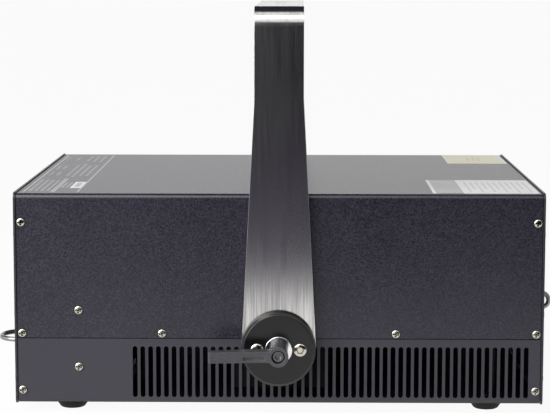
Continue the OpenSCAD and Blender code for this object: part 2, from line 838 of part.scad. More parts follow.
// places of the two heating cartridges, as [y, z]
function cartridge_places() = [for (s = [-1, 1]) [s * heater_size[1] * 0.27, nozzle_z]];

module heater_block() {
    color([0.62, 0.63, 0.64]) difference() {
        block([heater_x0, -heater_size[1] / 2, heater_z0],
            [heater_x1, heater_size[1] / 2, heater_z0 + heater_size[2]]);
        for (p = cartridge_places())
            bar_x(heater_x0 - over, heater_x1 - 25, cartridge_r + slip, p[0], p[1]);
        bar_x(heater_x0 - over, heater_x1 + over, nozzle_bore_r, 0, nozzle_z);
    }
}

module heater_cartridges() {
    color([0.7, 0.68, 0.62]) for (p = cartridge_places())
        bar_x(wrap_x0 - 6, heater_x1 - 26, cartridge_r, p[0], p[1]);
}

module heater_insulation() {
    color([0.88, 0.86, 0.8]) difference() {
        block([wrap_x0, -wrap_y, wrap_z0], [wrap_x1, wrap_y, wrap_z1]);
        block([heater_x0, -heater_size[1] / 2, heater_z0],
            [heater_x1, heater_size[1] / 2, heater_z0 + heater_size[2]]);
        for (p = cartridge_places())
            bar_x(wrap_x0 - over, heater_x0 + over, cartridge_r + slip, p[0], p[1]);
        bar_x(wrap_x0 - over, heater_x0 + over, hose_r + slip, 0, nozzle_z);
        bar_x(heater_x1 - over, wrap_x1 + over, nozzle_r + slip, 0, nozzle_z);
        translate([cutout_x, 0, wrap_z1 - wrap_t - over])
            cylinder(h = wrap_t + 2 * over, r = cutout_r + slip);
    }
}

// folded tray that the wrapped heater stands in, with two straps over the top
module heater_cradle() {
    color([0.66, 0.67, 0.68]) {
        block([wrap_x0, -wrap_y - strap_t, wrap_z0 - strap_t], [wrap_x1, wrap_y + strap_t, wrap_z0]);
        for (s = [-1, 1]) {
            y = s < 0 ? -wrap_y - strap_t : wrap_y;
            block([wrap_x0, y, deck_top], [wrap_x1, y + strap_t, wrap_z0 - strap_t]);
            f = s < 0 ? -wrap_y - strap_t - cradle_foot : wrap_y + strap_t;
            block([wrap_x0, f, deck_top], [wrap_x1, f + cradle_foot, deck_top + strap_t]);
        }
        for (x = [wrap_x0 + 30, wrap_x1 - 30 - strap_w]) difference() {
            block([x, -wrap_y - strap_t, wrap_z0], [x + strap_w, wrap_y + strap_t, wrap_z1 + strap_t]);
            block([x - over, -wrap_y, wrap_z0 - over], [x + strap_w + over, wrap_y, wrap_z1]);
        }
    }
}

module thermal_cutout() {
    z0 = heater_z0 + heater_size[2];
    color([0.2, 0.2, 0.22]) translate([cutout_x, 0, z0]) {
        cylinder(h = wrap_t + 3, r = cutout_r);
        for (s = [-1, 1]) translate([-3, s * 4 - 0.4, wrap_t + 3]) cube([6, 0.8, 8]);
    }
}

module nozzle() {
    color([0.78, 0.66, 0.38]) difference() {
        union() {
            bar_x(heater_x1, nozzle_tip - nozzle_nose, nozzle_r, 0, nozzle_z);
            translate([nozzle_tip - nozzle_nose, 0, nozzle_z]) rotate([0, 90, 0])
                cylinder(h = nozzle_nose, r1 = nozzle_r, r2 = nozzle_r * 0.6);
        }
        bar_x(heater_x1 - over, nozzle_tip + over, nozzle_bore_r, 0, nozzle_z);
    }
}

module guard_screw_places() {
    for (a = [90, 210, 330])
        translate([0, guard_screw_pcd / 2 * cos(a), nozzle_z + guard_screw_pcd / 2 * sin(a)]) children();
}

module nozzle_guard() {
    color([0.13, 0.13, 0.14]) difference() {
        union() {
            bar_x(half_l, half_l + guard_t, guard_flange_r, 0, nozzle_z);
            bar_x(half_l, half_l + guard_l, guard_r + guard_t, 0, nozzle_z);
        }
        bar_x(half_l - over, half_l + guard_l + over, guard_r, 0, nozzle_z);
        guard_screw_places() bar_x(half_l - over, half_l + guard_t + over, guard_screw_r + slip);
    }
}

module fluid_tank() {
    inner = tank_size - 2 * tank_wall * [1, 1, 1];
    color([0.86, 0.87, 0.86]) translate([tank_x0, tank_y0, tank_z0]) difference() {
        translate([tank_size[0] / 2, tank_size[1] / 2, 0])
            linear_extrude(height = tank_size[2]) round_rect(tank_size[0], tank_size[1], 10);
        translate([tank_size[0] / 2, tank_size[1] / 2, tank_wall])
            linear_extrude(height = inner[2]) round_rect(inner[0], inner[1], 10 - tank_wall);
        bar_x(-over, tank_wall + over, neck_r - tank_wall, neck_y - tank_y0, neck_z - tank_z0);
        bar_x(tank_size[0] - tank_wall - over, tank_size[0] + over, hose_r - 1,
            pump_y - tank_y0, pump_z - tank_z0);
    }
}

// tube from the tank through the rear plate, with a flange outside
module filler_neck() {
    color([0.15, 0.15, 0.16]) difference() {
        union() {
            bar_x(-neck_end, tank_x0, neck_r, neck_y, neck_z);
            bar_x(-half_l - trim_t, -half_l, neck_r + neck_flange_w, neck_y, neck_z);
        }
        bar_x(-neck_end - over, tank_x0 + over, neck_r - tank_wall, neck_y, neck_z);
    }
}

// quarter-turn cap with a finger bar
module filler_cap() {
    rim = -half_l - trim_t - play;
    color([0.1, 0.1, 0.1]) difference() {
        union() {
            bar_x(-cap_out, rim, cap_r, neck_y, neck_z);
            block([-cap_out - cap_bar_h, neck_y - cap_r * 0.8, neck_z - cap_bar_h / 2],
                [-cap_out, neck_y + cap_r * 0.8, neck_z + cap_bar_h / 2]);
            for (a = [0:30:330])
                bar_x(-cap_out, rim, cap_rib_r, neck_y + cap_r * cos(a), neck_z + cap_r * sin(a));
        }
        bar_x(-cap_out + cap_wall, rim + over, neck_r + play, neck_y, neck_z);
    }
}

// solenoid pump: barrel inside a square coil frame, with a port at each end
module fluid_pump() {
    color([0.35, 0.36, 0.38]) difference() {
        union() {
            bar_x(pump_x0, pump_x0 + pump_l, pump_r * 0.6, pump_y, pump_z);
            block([pump_x0 + 12, pump_y - pump_r, pump_z - pump_r],
                [pump_x0 + pump_l - 12, pump_y + pump_r, pump_z + pump_r]);
        }
        bar_x(pump_x0 - over, pump_x0 + pump_l + over, hose_r - 1, pump_y, pump_z);
    }
}

module pump_bracket() {
    z1 = pump_z - pump_r;
    color([0.66, 0.67, 0.68]) {
        block([pump_x0 + 6, pump_y - pump_r - 6, z1 - strap_t],
            [pump_x0 + pump_l - 6, pump_y + pump_r + 6, z1]);
        for (y = [pump_y - pump_r - 6, pump_y + pump_r + 6 - strap_t])
            block([pump_x0 + 6, y, deck_top], [pump_x0 + pump_l - 6, y + strap_t, z1 - strap_t]);
    }
}

module fluid_hoses() {
    pump_x1 = pump_x0 + pump_l;
    bend_x = (pump_x1 + wrap_x0) / 2 - 2;
    color([0.8, 0.75, 0.6]) {
        bar_x(tank_x0 + tank_size[0], pump_x0, hose_r, pump_y, pump_z);
        pipe([[pump_x1, pump_y, pump_z], [bend_x, pump_y, pump_z], [bend_x, pump_y, nozzle_z],
            [bend_x, 0, nozzle_z], [heater_x0, 0, nozzle_z]], hose_r);
    }
}

// ---- cooling ----

module fan_frames() {
    y0 = fan_y1 - fan_t;
    boss = rotor_hub_r - 1;
    color([0.1, 0.1, 0.1]) for (x = fan_xs) difference() {
        union() {
            difference() {
                translate([x, fan_y1, fan_z]) rotate([90, 0, 0])
                    linear_extrude(height = fan_t) round_rect(fan_w, fan_w, 4);
                bar_y(y0 - over, fan_y1 + over, fan_hole_r, x, fan_z);
            }
            bar_y(fan_y1 - 3, fan_y1, boss, x, fan_z);
            for (a = [30, 150, 270]) translate([x, 0, fan_z]) rotate([0, -a, 0])
                block([boss - 1, fan_y1 - 3, -1.5], [fan_hole_r + 1, fan_y1, 1.5]);
        }
        bar_y(fan_y1 - 3 - over, fan_y1 + over, 1.5 + run_fit, x, fan_z);
        for (sx = [-1, 1], sz = [-1, 1])
            bar_y(y0 - over, fan_y1 + over, 2.1, x + sx * fan_hole_in, fan_z + sz * fan_hole_in);
    }
}

module fan_rotor(x) {
    y0 = fan_y1 - fan_t + 1;
    y1 = fan_y1 - 3 - play;
    color([0.14, 0.14, 0.15]) {
        bar_y(y0, y1, rotor_hub_r, x, fan_z);
        bar_y(y1, fan_y1 - 0.5, 1.5, x, fan_z);
        intersection() {
            bar_y(y0 + 0.5, y1 - 0.5, rotor_r, x, fan_z);
            for (i = [0:blade_count - 1])
                translate([x, (y0 + y1) / 2, fan_z])
                    rotate([0, i * 360 / blade_count, 0]) rotate([35, 0, 0])
                        translate([rotor_hub_r - 1, -0.8, -8]) cube([rotor_r - rotor_hub_r + 2, 1.6, 16]);
        }
    }
}

module fan_rotor_1() { fan_rotor(fan_xs[0]); }
module fan_rotor_2() { fan_rotor(fan_xs[1]); }

// folded plate that carries both fans on the floor of the tray
module fan_bracket() {
    y1 = fan_y1 - fan_t;
    x0 = fan_xs[0] - fan_w / 2 - 4;
    x1 = fan_xs[1] + fan_w / 2 + 4;
    color([0.66, 0.67, 0.68]) difference() {
        union() {
            block([x0, y1 - strap_t, floor_in], [x1, y1, fan_z + fan_w / 2]);
            block([x0, y1 - 16, floor_in], [x1, y1 - strap_t, floor_in + strap_t]);
        }
        for (x = fan_xs) bar_y(y1 - strap_t - over, y1 + over, fan_hole_r, x, fan_z);
    }
}

module power_supply() {
    y0 = -wall_in + tie_t;
    z0 = floor_in + 4;
    color([0.74, 0.75, 0.76]) difference() {
        union() {
            block([psu_x0, y0, z0], [psu_x0 + psu_size[0], y0 + psu_size[1], z0 + psu_size[2]]);
            block([psu_x0 + psu_size[0], y0 + 12, z0 + 6], [psu_x0 + psu_size[0] + 10, y0 + 80, z0 + 22]);
        }
        for (i = [0:7]) block([psu_x0 + 8 + i * 8, y0 + 12, z0 + psu_size[2] - 2],
            [psu_x0 + 11 + i * 8, y0 + psu_size[1] - 12, z0 + psu_size[2] + over]);
    }
}

// mains leads from the inlet to the power supply, clipped along the floor of the tray
module wiring_loom() {
    z = floor_in + 4;
    x0 = -half_shell + 34;
    y1 = -wall_in + tie_t + psu_size[1];
    color([0.15, 0.15, 0.16]) for (i = [0, 1])
        pipe([[x0, inlet_y - 6 + 12 * i, inlet_z], [x0 + 14 + 8 * i, inlet_y - 6 + 12 * i, inlet_z],
            [x0 + 14 + 8 * i, inlet_y - 6 + 12 * i, z], [x0 + 14 + 8 * i, y1 + 14, z],
            [x0 + 14 + 8 * i, y1 + 14, z + 16], [x0 + 14 + 8 * i, y1, z + 16]], 2.5);
}

// ---- controls on the rear plate ----

module control_board() {
    half_y = window_size[0] / 2 + 14;
    color([0.08, 0.3, 0.16]) {
        block([board_x, window_y - half_y, board_low], [board_x + board_t, window_y + half_y, board_high]);
        for (sy = [-1, 1], z = [board_low + 5, board_high - 5])
            bar_x(-half_shell, board_x, 3, window_y + sy * (half_y - 5), z);
        block([-half_shell + 2.2, window_y - window_size[0] / 2 + 2, window_z - window_size[1] / 2 + 1],
            [board_x, window_y + window_size[0] / 2 - 2, window_z + window_size[1] / 2 - 1]);
        for (y = button_ys)
            block([board_x - button_pad_t, y - 3, button_z - 3], [board_x, y + 3, button_z + 3]);
    }
}

module display_window() {
    w = window_size[0] / 2;
    h = window_size[1] / 2;
    color([0.05, 0.06, 0.08]) {
        block([-half_l - 0.5, window_y - w + slip, window_z - h + slip],
            [-half_shell, window_y + w - slip, window_z + h - slip]);
        block([-half_shell, window_y - w - 3, window_z - h - 3],
            [-half_shell + 2, window_y + w + 3, window_z + h + 3]);
    }
}

module menu_button(i) {
    back = board_x - button_pad_t - button_travel - play;
    color([0.3, 0.31, 0.33]) {
        bar_x(-half_l - button_out, back, button_r, button_ys[i], button_z);
        bar_x(-half_shell + play, -half_shell + play + button_lip, button_r + button_lip,
            button_ys[i], button_z);
    }
}

module menu_button_1() { menu_button(0); }
module menu_button_2() { menu_button(1); }
module menu_button_3() { menu_button(2); }
module menu_button_4() { menu_button(3); }

// mains inlet: flanged body with a deep pocket and three blades
module mains_inlet() {
    pocket = 18;
    x0 = -half_l - inlet_flange_t;
    color([0.09, 0.09, 0.09]) {
        difference() {
            union() {
                block([x0, inlet_y - inlet_w / 2 - 7, inlet_z - inlet_h / 2 - 4],
                    [-half_l, inlet_y + inlet_w / 2 + 7, inlet_z + inlet_h / 2 + 4]);
                block([-half_l, inlet_y - inlet_w / 2, inlet_z - inlet_h / 2],
                    [-half_shell + 34, inlet_y + inlet_w / 2, inlet_z + inlet_h / 2]);
            }
            block([x0 - over, inlet_y - inlet_w / 2 + inlet_wall, inlet_z - inlet_h / 2 + inlet_wall],
                [x0 + pocket, inlet_y + inlet_w / 2 - inlet_wall, inlet_z + inlet_h / 2 - inlet_wall]);
        }
        for (p = [[-7, -2.5], [0, 2.5], [7, -2.5]])
            block([x0 + pocket - 9, inlet_y + p[0] - 1, inlet_z + p[1] - 2],
                [x0 + pocket, inlet_y + p[0] + 1, inlet_z + p[1] + 2]);
    }
}

module power_switch_frame() {
    x0 = -half_l - switch_flange;
    half_y = switch_w / 2;
    half_z = switch_h / 2;
    color([0.09, 0.09, 0.09]) difference() {
        union() {
            block([x0, switch_y - half_y - switch_flange, switch_z - half_z - switch_flange],
                [-half_l, switch_y + half_y + switch_flange, switch_z + half_z + switch_flange]);
            block([-half_l, switch_y - half_y, switch_z - half_z],
                [-half_shell + 18, switch_y + half_y, switch_z + half_z]);
        }
        block([x0 - over, switch_y - half_y + switch_wall, switch_z - half_z + switch_wall],
            [-half_shell + 12, switch_y + half_y - switch_wall, switch_z + half_z - switch_wall]);
        bar_y(switch_y - half_y - over, switch_y + half_y + over, switch_pin_r + run_fit,
            rocker_x, switch_z);
    }
}

module power_switch_rocker() {
    half = switch_w / 2 - switch_wall - play;
    tall = switch_h / 2 - switch_wall - 1.1;
    color([0.45, 0.08, 0.07]) {
        translate([rocker_x, 0, switch_z]) rotate([0, rocker_tilt, 0])
            along_y(switch_y - half, switch_y + half)
                polygon([[-5.4, tall], [-3.6, 0], [-5.4, -tall], [2, -tall * 0.8], [2, tall * 0.8]]);
        bar_y(switch_y - half - 1.4, switch_y + half + 1.4, switch_pin_r, rocker_x, switch_z);
    }
}

module fuse_holder() {
    color([0.09, 0.09, 0.09]) difference() {
        union() {
            bar_x(-half_l - trim_t, -half_l, fuse_r + 2.5, fuse_y, inlet_z);
            bar_x(-half_l, -half_shell + 32, fuse_r, fuse_y, inlet_z);
            bar_x(-half_l - fuse_head_h, -half_l - trim_t, fuse_r, fuse_y, inlet_z);
        }
        block([-half_l - fuse_head_h - over, fuse_y - fuse_r, inlet_z - fuse_slot_w / 2],
            [-half_l - fuse_head_h + 1.4, fuse_y + fuse_r, inlet_z + fuse_slot_w / 2]);
    }
}

// two round data sockets with flanges
module data_sockets() {
    color([0.5, 0.51, 0.53]) for (y = data_ys) difference() {
        union() {
            bar_x(-half_l - trim_t, -half_l, data_r + data_flange, y, inlet_z);
            bar_x(-half_l, -half_shell + data_depth, data_r, y, inlet_z);
        }
        bar_x(-half_l - trim_t - over, -half_l + data_pocket, data_r - 2, y, inlet_z);
    }
}

top_cover();
bottom_tray();
front_plate();
rear_plate();
corner_posts();
mid_deck();
deck_pillars();
cover_screws();
tray_screws();
end_plate_screws();
tie_bracket();
rubber_feet();
foot_screws();
pivot_doublers();
pivot_studs();
spacer_rings();
yoke_bar();
clamp_plates();
clamp_plate_screws();
bright_washers();
near_lever_insert();
near_lever_handle();
near_lever_screw();
near_lever_spring();
far_lever_insert();
far_lever_handle();
far_lever_screw();
far_lever_spring();
rear_loop();
front_eye();
heater_block();
heater_cartridges();
heater_insulation();
heater_cradle();
thermal_cutout();
nozzle();
nozzle_guard();
wiring_loom();
fluid_tank();
filler_neck();
filler_cap();
fluid_pump();
pump_bracket();
fluid_hoses();
fan_frames();
fan_rotor_1();
fan_rotor_2();
fan_bracket();
power_supply();
control_board();
display_window();
menu_button_1();
menu_button_2();
menu_button_3();
menu_button_4();
mains_inlet();
power_switch_frame();
power_switch_rocker();
fuse_holder();
data_sockets();
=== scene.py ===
"""Looks of a stage fog machine: a sheet-metal housing in a brushed tilting yoke.

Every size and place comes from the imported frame. Lengths are metres, +Z is up, the nozzle
points along +X and the first clamp lever is on the -Y side.
"""
import json
import logging
import math
import random
from dataclasses import dataclass
from enum import Enum
from typing import Callable, ClassVar

import bmesh
import bpy
from mathutils import Matrix, Vector

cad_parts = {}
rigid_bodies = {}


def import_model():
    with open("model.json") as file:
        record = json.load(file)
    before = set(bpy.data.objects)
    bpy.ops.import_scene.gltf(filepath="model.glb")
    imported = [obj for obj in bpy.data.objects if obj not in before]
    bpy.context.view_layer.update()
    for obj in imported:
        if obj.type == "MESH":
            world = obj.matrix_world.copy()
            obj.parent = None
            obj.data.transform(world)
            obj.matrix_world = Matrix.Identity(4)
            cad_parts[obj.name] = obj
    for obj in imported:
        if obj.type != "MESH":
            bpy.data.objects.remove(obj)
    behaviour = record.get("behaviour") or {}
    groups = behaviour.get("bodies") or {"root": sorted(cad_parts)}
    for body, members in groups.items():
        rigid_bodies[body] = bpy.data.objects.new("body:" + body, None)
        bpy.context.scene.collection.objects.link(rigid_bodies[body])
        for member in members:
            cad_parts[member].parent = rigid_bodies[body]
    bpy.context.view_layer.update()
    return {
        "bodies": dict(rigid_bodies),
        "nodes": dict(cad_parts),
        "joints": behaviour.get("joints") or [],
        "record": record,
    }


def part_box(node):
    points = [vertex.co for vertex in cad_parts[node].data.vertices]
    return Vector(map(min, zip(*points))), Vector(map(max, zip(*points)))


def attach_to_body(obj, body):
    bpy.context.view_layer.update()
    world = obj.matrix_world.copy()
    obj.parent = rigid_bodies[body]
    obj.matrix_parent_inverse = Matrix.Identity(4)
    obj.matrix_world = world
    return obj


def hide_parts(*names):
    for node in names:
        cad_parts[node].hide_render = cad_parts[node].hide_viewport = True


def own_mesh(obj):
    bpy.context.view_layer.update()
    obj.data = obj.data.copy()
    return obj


LOG = logging.getLogger("fog_machine")
MM = 0.001
SEED = 7


class Axis(Enum):
    """Direction along which a finish is brushed or drawn."""

    X = (0.02, 1.0, 1.0)
    Y = (1.0, 0.02, 1.0)
    Z = (1.0, 1.0, 0.02)
    NONE = (1.0, 1.0, 1.0)


class Facing(Enum):
    """Outward direction of a fastener or a fitting."""

    NEAR = (0.0, -1.0, 0.0)
    FAR = (0.0, 1.0, 0.0)
    FRONT = (1.0, 0.0, 0.0)
    REAR = (-1.0, 0.0, 0.0)
    DOWN = (0.0, 0.0, -1.0)


# ---------------------------------------------------------------- node helpers


def solid(color: tuple) -> tuple:
    """Returns a colour with full opacity."""
    return (*color, 1.0)


def grey(level: float) -> tuple:
    """Returns a neutral colour."""
    return (level, level, level, 1.0)


def add_inputs(tree: bpy.types.NodeTree, inputs: dict[str, object]) -> None:
    """Gives a tree its named inputs, whose types follow from their names and defaults."""
    kinds = {bool: "Bool", int: "Int", float: "Float", tuple: "Vector", type(None): "Material"}
    for name, default in inputs.items():
        kind = "Color" if "Color" in name else kinds[type(default)]
        socket = tree.interface.new_socket(name, in_out="INPUT", socket_type="NodeSocket" + kind)
        if default is not None:
            socket.default_value = default


class NodeBook:
    """Small wrapper that adds and links nodes in one tree."""

    def __init__(self, tree: bpy.types.NodeTree) -> None:
        """Keeps the tree that nodes are added to."""
        self.tree = tree

    def add(self, kind: str, values: dict | None = None, **settings: object) -> bpy.types.Node:
        """Adds a node.

        Args:
            kind: the node's bl_idname.
            values: input name or index to its value, or to a socket to link from.
            settings: attributes of the node itself.

        Returns:
            The new node.
        """
        node = self.tree.nodes.new(kind)
        for key, value in settings.items():
            setattr(node, key, value)
        for key, value in (values or {}).items():
            self.feed(node, key, value)
        return node

    def feed(self, node: bpy.types.Node, key: str | int, value: object) -> None:
        """Sets one input of a node, or links a socket to it."""
        socket = node.inputs[key]
        if isinstance(value, bpy.types.NodeSocket):
            self.tree.links.new(value, socket)
        else:
            socket.default_value = value

    def math(self, operation: str, a: object, b: object = 0.0, clamp: bool = False) -> bpy.types.NodeSocket:
        """Adds a Math node and returns its result."""
        node = self.add("ShaderNodeMath", {0: a, 1: b}, operation=operation, use_clamp=clamp)
        return node.outputs[0]

    def ramp(self, value: bpy.types.NodeSocket, low: float, high: float, out_low: float = 0.0,
             out_high: float = 1.0) -> bpy.types.NodeSocket:
        """Maps a value from one range to another, clamped, and returns the result."""
        node = self.add("ShaderNodeMapRange", {0: value, 1: low, 2: high, 3: out_low, 4: out_high})
        return node.outputs[0]

    def mix(self, factor: object, a: object, b: object) -> bpy.types.NodeSocket:
        """Mixes two colours and returns the result."""
        node = self.tree.nodes.new("ShaderNodeMix")
        node.data_type = "RGBA"
        for index, value in ((0, factor), (6, a), (7, b)):
            self.feed(node, index, value)
        return node.outputs[2]

    def here(self) -> bpy.types.NodeSocket:
        """Returns the Object coordinates."""
        return self.add("ShaderNodeTexCoord").outputs["Object"]

    def noise(self, where: bpy.types.NodeSocket, scale: object, detail: float = 2.0, roughness: float = 0.5,
              distortion: float = 0.0) -> bpy.types.NodeSocket:
        """Adds a noise texture and returns its factor."""
        values = {"Vector": where, "Scale": scale, "Detail": detail, "Roughness": roughness,
                  "Distortion": distortion}
        return self.add("ShaderNodeTexNoise", values).outputs["Fac"]

    def effect(self, group: bpy.types.NodeTree, values: dict[str, object]) -> bpy.types.NodeOutputs:
        """Places a shared effect with its own values and returns its outputs."""
        return self.add("ShaderNodeGroup", values, node_tree=group).outputs


# ---------------------------------------------------------------- shared effects


class Effects:
    """Shader node groups that several finishes share, each built once."""

    def __init__(self) -> None:
        """Builds the groups."""
        self.coat = self.group("powder_coat", self.coat_nodes, {
            "Color": grey(0.05), "Fleck Color": grey(0.2), "Fleck Size": 900.0, "Fleck Amount": 0.3,
            "Roughness": 0.4})
        self.grain = self.group("brushed_grain", self.grain_nodes, {
            "Color": grey(0.5), "Dark Color": grey(0.3), "Stretch": Axis.NONE.value, "Scale": 900.0,
            "Amount": 0.5, "Roughness": 0.3, "Spread": 0.07})
        self.wear = self.group("edge_wear", self.wear_nodes, {"Radius": 0.001, "Amount": 0.5})
        self.soil = self.group("handling_marks", self.soil_nodes, {"Amount": 0.2})
        self.crevice = self.group("crevice_shade", self.crevice_nodes, {"Reach": 0.0015})

    @staticmethod
    def group(name: str, fill: Callable, inputs: dict[str, object]) -> bpy.types.NodeTree:
        """Builds one node group.

        Args:
            name: the group's name.
            fill: adds the nodes and returns output name to socket.
            inputs: input name to its default.

        Returns:
            The group.
        """
        tree = bpy.data.node_groups.new(name, "ShaderNodeTree")
        add_inputs(tree, inputs)
        book = NodeBook(tree)
        results = fill(book, tree.nodes.new("NodeGroupInput").outputs)
        for key in results:
            kind = "NodeSocketColor" if key == "Color" else "NodeSocketFloat"
            tree.interface.new_socket(key, in_out="OUTPUT", socket_type=kind)
        book.add("NodeGroupOutput", results)
        return tree

    @staticmethod
    def coat_nodes(book: NodeBook, ins: bpy.types.NodeOutputs) -> dict:
        """Powder coat: orange peel with light and dark flecks. Returns the outputs."""
        here = book.here()
        fine = book.noise(here, ins["Fleck Size"], 2.0, 0.6)
        cloud = book.noise(here, 9.0, 3.0)
        peel = book.add("ShaderNodeTexVoronoi", {"Vector": here, "Scale": 620.0}, feature="SMOOTH_F1")
        light = book.math("MULTIPLY", book.ramp(fine, 0.49, 0.66), ins["Fleck Amount"])
        dark = book.math("MULTIPLY", book.ramp(fine, 0.46, 0.3, 0.0, 0.4), ins["Fleck Amount"])
        tone = book.mix(light, ins["Color"], ins["Fleck Color"])
        tone = book.mix(dark, tone, grey(0.008))
        tone = book.mix(book.ramp(cloud, 0.35, 0.65, 0.0, 0.12), tone, ins["Fleck Color"])
        rough = book.math("ADD", ins["Roughness"], book.ramp(fine, 0.3, 0.7, -0.05, 0.07))
        height = book.math("ADD", book.math("MULTIPLY", peel.outputs["Distance"], 0.7), fine)
        return {"Color": tone, "Roughness": rough, "Height": height}

    @staticmethod
    def grain_nodes(book: NodeBook, ins: bpy.types.NodeOutputs) -> dict:
        """Parallel lines of brushing or rolling, fine ones over broad ones. Returns the outputs."""
        flat = book.add("ShaderNodeVectorMath", {0: book.here(), 1: ins["Stretch"]}, operation="MULTIPLY")
        lines = book.noise(flat.outputs[0], ins["Scale"], 3.0, 0.65)
        broad = book.noise(flat.outputs[0], 170.0)
        both = book.math("ADD", book.math("MULTIPLY", lines, 0.7), book.math("MULTIPLY", broad, 0.3))
        factor = book.math("MULTIPLY", book.ramp(both, 0.35, 0.65), ins["Amount"])
        shift = book.math("MULTIPLY", book.ramp(both, 0.35, 0.65, -1.0, 1.0), ins["Spread"])
        return {"Color": book.mix(factor, ins["Color"], ins["Dark Color"]),
                "Roughness": book.math("ADD", ins["Roughness"], shift), "Height": both}

    @staticmethod
    def wear_nodes(book: NodeBook, ins: bpy.types.NodeOutputs) -> dict:
        """Mask of rubbed outer edges. Returns the outputs."""
        soft = book.add("ShaderNodeBevel", {"Radius": ins["Radius"]}, samples=4).outputs[0]
        plain = book.add("ShaderNodeNewGeometry").outputs["Normal"]
        dot = book.add("ShaderNodeVectorMath", {0: soft, 1: plain}, operation="DOT_PRODUCT").outputs["Value"]
        spots = book.ramp(book.noise(book.here(), 160.0, 4.0), 0.4, 0.62)
        broken = book.math("MULTIPLY", book.ramp(dot, 0.995, 0.86), spots, clamp=True)
        return {"Mask": book.math("MULTIPLY", broken, ins["Amount"])}

    @staticmethod
    def crevice_nodes(book: NodeBook, ins: bpy.types.NodeOutputs) -> dict:
        """Mask of narrow recesses and joints, where light is lost. Returns the outputs."""
        open_share = book.add("ShaderNodeAmbientOcclusion", {"Distance": ins["Reach"]}, samples=6)
        return {"Mask": book.ramp(open_share.outputs["AO"], 0.94, 0.62)}

    @staticmethod
    def soil_nodes(book: NodeBook, ins: bpy.types.NodeOutputs) -> dict:
        """Faint handling marks and dust, as a mask. Returns the outputs."""
        here = book.here()
        blotch = book.ramp(book.noise(here, 14.0, 5.0, distortion=0.6), 0.5, 0.72)
        grit = book.ramp(book.noise(here, 420.0), 0.42, 0.62, 0.4, 1.0)
        return {"Mask": book.math("MULTIPLY", book.math("MULTIPLY", blotch, grit), ins["Amount"])}


# ---------------------------------------------------------------- finishes


@dataclass(frozen=True)
class Finish:
    """Base of every finish: a named Principled material with relief and handling marks.

    Attributes:
        name: the material's name.
        color: main colour, linear.
        roughness: main roughness.
        bump: depth of the surface relief, in metres.
        soil: strength of the handling marks.
        crevice: reach of the shade in narrow recesses, in metres, or 0 for none.
    """

    name: str
    color: tuple
    roughness: float
    bump: float
    soil: float
    crevice: float = 0.0
    dirt: ClassVar[tuple] = (0.24, 0.23, 0.21)
    dirt_roughness: ClassVar[float] = 0.0
    crevice_level: ClassVar[float] = 0.012

    def surface(self, book: NodeBook, effects: Effects) -> tuple:
        """Adds the nodes of the clean surface. Returns its colour, roughness and height."""
        raise NotImplementedError

    def constants(self) -> dict[str, float]:
        """Returns the shader's own settings that stay the same all over."""
        return {}

    def build(self, effects: Effects) -> bpy.types.Material:
        """Builds the material. Returns it."""
        material = bpy.data.materials.new(self.name)
        material.use_nodes = True
        material.diffuse_color = solid(self.color)
        book = NodeBook(material.node_tree)
        tone, rough, height = self.surface(book, effects)
        marks = book.effect(effects.soil, {"Amount": self.soil})["Mask"]
        tone = book.mix(marks, tone, solid(self.dirt))
        if self.crevice:
            shade = book.effect(effects.crevice, {"Reach": self.crevice})["Mask"]
            tone = book.mix(shade, tone, grey(self.crevice_level))
        if self.dirt_roughness:
            rough = book.math("ADD", rough, book.math("MULTIPLY", marks, self.dirt_roughness))
        bump = book.add("ShaderNodeBump", {"Height": height, "Distance": self.bump, "Strength": 1.0})
        shader = material.node_tree.nodes["Principled BSDF"]
        for key, value in {"Base Color": tone, "Roughness": rough, "Normal": bump.outputs["Normal"],
                           **self.constants()}.items():
            book.feed(shader, key, value)
        return material


@dataclass(frozen=True)
class PowderCoat(Finish):
    """Baked paint with flecks, and bare metal where its edges are rubbed."""

    fleck: tuple = (0.2, 0.2, 0.22)
    fleck_size: float = 900.0
    fleck_amount: float = 0.3
    edge: float = 0.25
    specular: float = 0.5
    dirt: ClassVar[tuple] = (0.22, 0.2, 0.18)
    dirt_roughness: ClassVar[float] = 0.5
    rubbed_level: ClassVar[float] = 0.32
    rubbed_width: ClassVar[float] = 0.8 * MM

    def constants(self) -> dict[str, float]:
        """Returns the strength of the paint's reflection."""
        return {"Specular IOR Level": self.specular}

    def surface(self, book: NodeBook, effects: Effects) -> tuple:
        """Adds the coat and its rubbed edges. Returns its colour, roughness and height."""
        coat = book.effect(effects.coat, {
            "Color": solid(self.color), "Fleck Color": solid(self.fleck), "Fleck Size": self.fleck_size,
            "Fleck Amount": self.fleck_amount, "Roughness": self.roughness})
        rubbed = book.effect(effects.wear, {"Amount": self.edge, "Radius": self.rubbed_width})["Mask"]
        return book.mix(rubbed, coat["Color"], grey(self.rubbed_level)), coat["Roughness"], coat["Height"]


@dataclass(frozen=True)
class Metal(Finish):
    """Bare metal with brushing or drawing lines along one axis."""

    dark: tuple = (0.4, 0.4, 0.4)
    axis: Axis = Axis.NONE
    grain_size: float = 900.0
    grain_amount: float = 0.4
    spread: float = 0.07
    dirt: ClassVar[tuple] = (0.12, 0.12, 0.12)
    dirt_roughness: ClassVar[float] = 0.4

    def constants(self) -> dict[str, float]:
        """Returns the shader's metallic setting."""
        return {"Metallic": 1.0}

    def surface(self, book: NodeBook, effects: Effects) -> tuple:
        """Adds the grain. Returns its colour, roughness and height."""
        grain = book.effect(effects.grain, {
            "Color": solid(self.color), "Dark Color": solid(self.dark), "Stretch": self.axis.value,
            "Scale": self.grain_size, "Amount": self.grain_amount, "Roughness": self.roughness,
            "Spread": self.spread})
        return grain["Color"], grain["Roughness"], grain["Height"]


